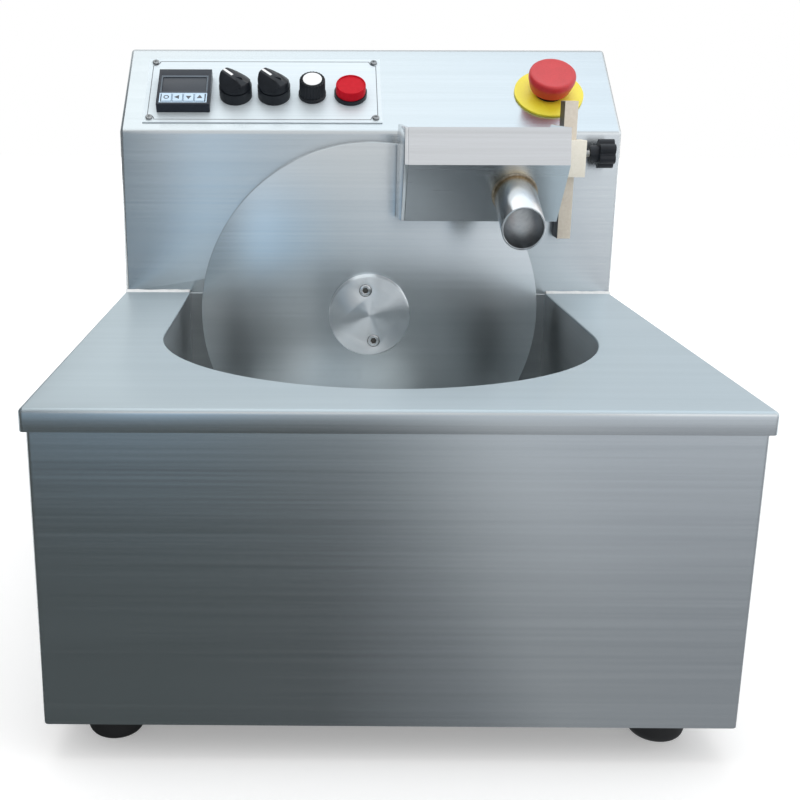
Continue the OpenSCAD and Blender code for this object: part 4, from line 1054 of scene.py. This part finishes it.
def room_shades():
    """The room in front of the machine as its steel shows it: dark to the left, bright to the right."""
    finish, tree, shader = shining("room_shades", 1.3)
    place = place_along(tree)
    across = between(tree, place["X"], 0.0, 1.0, -1.0, 1.0)
    near = shades(tree, across, (0.42, (0.08, 0.09, 0.09)), (0.48, (0.09, 0.098, 0.10)),
                  (0.53, (0.19, 0.20, 0.21)), (0.56, (0.30, 0.31, 0.32)), (0.62, (0.285, 0.295, 0.31)))
    midway = shades(tree, across, (0.40, (0.07, 0.078, 0.076)), (0.45, (0.085, 0.094, 0.093)),
                    (0.50, (0.12, 0.13, 0.135)), (0.56, (0.36, 0.38, 0.39)), (0.605, (0.62, 0.64, 0.66)),
                    (0.66, (0.48, 0.50, 0.53)), (0.80, (0.48, 0.50, 0.53)))
    far = shades(tree, across, (0.03, (0.22, 0.27, 0.31)), (0.09, (0.46, 0.59, 0.70)),
                 (0.14, (0.56, 0.77, 0.98)), (0.19, (0.52, 0.72, 0.92)), (0.26, (0.42, 0.58, 0.73)),
                 (0.35, (0.45, 0.56, 0.66)), (0.45, (0.50, 0.56, 0.61)), (0.60, (0.58, 0.63, 0.68)),
                 (0.90, (0.73, 0.77, 0.82)), (1.0, (0.80, 0.83, 0.87)))
    front_half = mixed_shades(tree, between(tree, place["Y"], 1.0, 0.0, -0.95, -0.4), near, midway)
    whole = mixed_shades(tree, between(tree, place["Y"], 1.0, 0.0, -1.5, -0.9), front_half, far)
    tree.links.new(whole, shader.inputs["Emission Color"])
    return finish


def reflected_sheet(name, corners, finish):
    """A sheet of the room round the machine, which only reflections show."""
    sheet = bmesh.new()
    sheet.faces.new([sheet.verts.new(corner) for corner in corners])
    mesh = bpy.data.meshes.new(name)
    sheet.to_mesh(mesh)
    sheet.free()
    mesh.materials.append(finish)
    stand = placed(name, mesh)
    stand.visible_camera = False
    stand.visible_diffuse = False
    stand.visible_transmission = False
    stand.visible_shadow = False


def upright_sheet(start, end, low, high):
    """Corners of an upright sheet over the line from start to end, between two heights."""
    return [(*start, low), (*end, low), (*end, high), (*start, high)]


def level_sheet(near, far, height):
    """Corners of a level sheet between two opposite corners."""
    return [(*near, height), (far[0], near[1], height), (*far, height), (near[0], far[1], height)]


def glow(name, strength, left, right):
    """A finish that shines from one colour at the machine's left to another at its right."""
    finish, tree, shader = shining(name, strength)
    across = between(tree, place_along(tree)["X"], 0.0, 1.0, -0.5, 0.6)
    tree.links.new(shades(tree, across, (0.0, left), (1.0, right)), shader.inputs["Emission Color"])
    return finish


def soft_light(name, place, aim, size, power):
    """A rectangular lamp that shines towards a point and isn't seen in reflections."""
    lamp_data = bpy.data.lights.new(name, "AREA")
    lamp_data.shape = "RECTANGLE"
    lamp_data.size = size[0]
    lamp_data.size_y = size[1]
    lamp_data.energy = power
    stand = placed(name, lamp_data)
    way = Vector(aim) - Vector(place)
    stand.matrix_world = Matrix.Translation(place) @ way.to_track_quat("-Z", "Y").to_matrix().to_4x4()
    stand.visible_glossy = False


def photo_camera():
    """The camera where the photograph was taken from, as fitted to the body's corners."""
    place = (-0.04796, -0.87297, 0.40202)
    heading = math.radians(0.419)
    off_plumb = math.radians(90 - 15.406)
    leans = math.radians(0.154)
    lens = bpy.data.cameras.new("photo_camera")
    lens.lens = 51.10
    lens.sensor_width = 36.0
    lens.shift_x = 0.1189
    stand = placed("photo_camera", lens)
    turn = Matrix.Rotation(heading, 4, "Z")
    tilt = Matrix.Rotation(off_plumb, 4, "X")
    roll = Matrix.Rotation(leans, 4, "Z")
    stand.matrix_world = Matrix.Translation(place) @ turn @ tilt @ roll
    bpy.context.scene.camera = stand


studio_world()
studio_floor()
room = room_shades()
ceiling = glow("ceiling_glow", 1.75, (0.94, 0.98, 0.99), (0.80, 0.88, 0.94))
window = glow("window_glow", 1.5, (1.0, 1.0, 1.0), (1.0, 1.0, 1.0))
left_wall = glow("left_wall", 0.25, (0.92, 0.97, 1.0), (0.92, 0.97, 1.0))
back_wall = glow("back_wall", 0.82, (0.92, 0.98, 1.0), (0.72, 0.73, 0.74))

# Limits of the reflected room: its floor, its front wall and half its width
GROUND = 0.002
FRONT = -2.6
WIDE = 4
reflected_sheet("room_floor", level_sheet((-WIDE, FRONT), (WIDE, -0.2), GROUND), room)
reflected_sheet("room_wall", upright_sheet((-WIDE, FRONT), (WIDE, FRONT), GROUND, 0.6), room)
reflected_sheet("room_corner", upright_sheet((-WIDE, FRONT), (-1.1, FRONT), 0.6, 2.6), room)
reflected_sheet("room_side", upright_sheet((-1.6, FRONT), (-1.6, 1.5), GROUND, 3.5), left_wall)
reflected_sheet("room_ceiling", level_sheet((-0.8, -0.6), (1.2, 0.9), 1.65), ceiling)
reflected_sheet("room_back", upright_sheet((-WIDE, 1.7), (WIDE, 1.7), GROUND, 1.6), back_wall)
reflected_sheet("front_window", upright_sheet((1.1, FRONT), (3.2, FRONT), 0.7, 2.4), window)
reflected_sheet("side_window", upright_sheet((1.5, -0.9), (1.5, 1.2), 0.4, 3.2), window)
soft_light("overhead", (0.0, 0.0, 1.7), (0.0, 0.05, 0.3), (1.8, 1.2), 6.0)
soft_light("right_fill", (1.6, -1.2, 1.2), (0.0, 0.0, 0.3), (1.0, 1.2), 4.0)
photo_camera()
bpy.context.scene.view_settings.view_transform = "Standard"
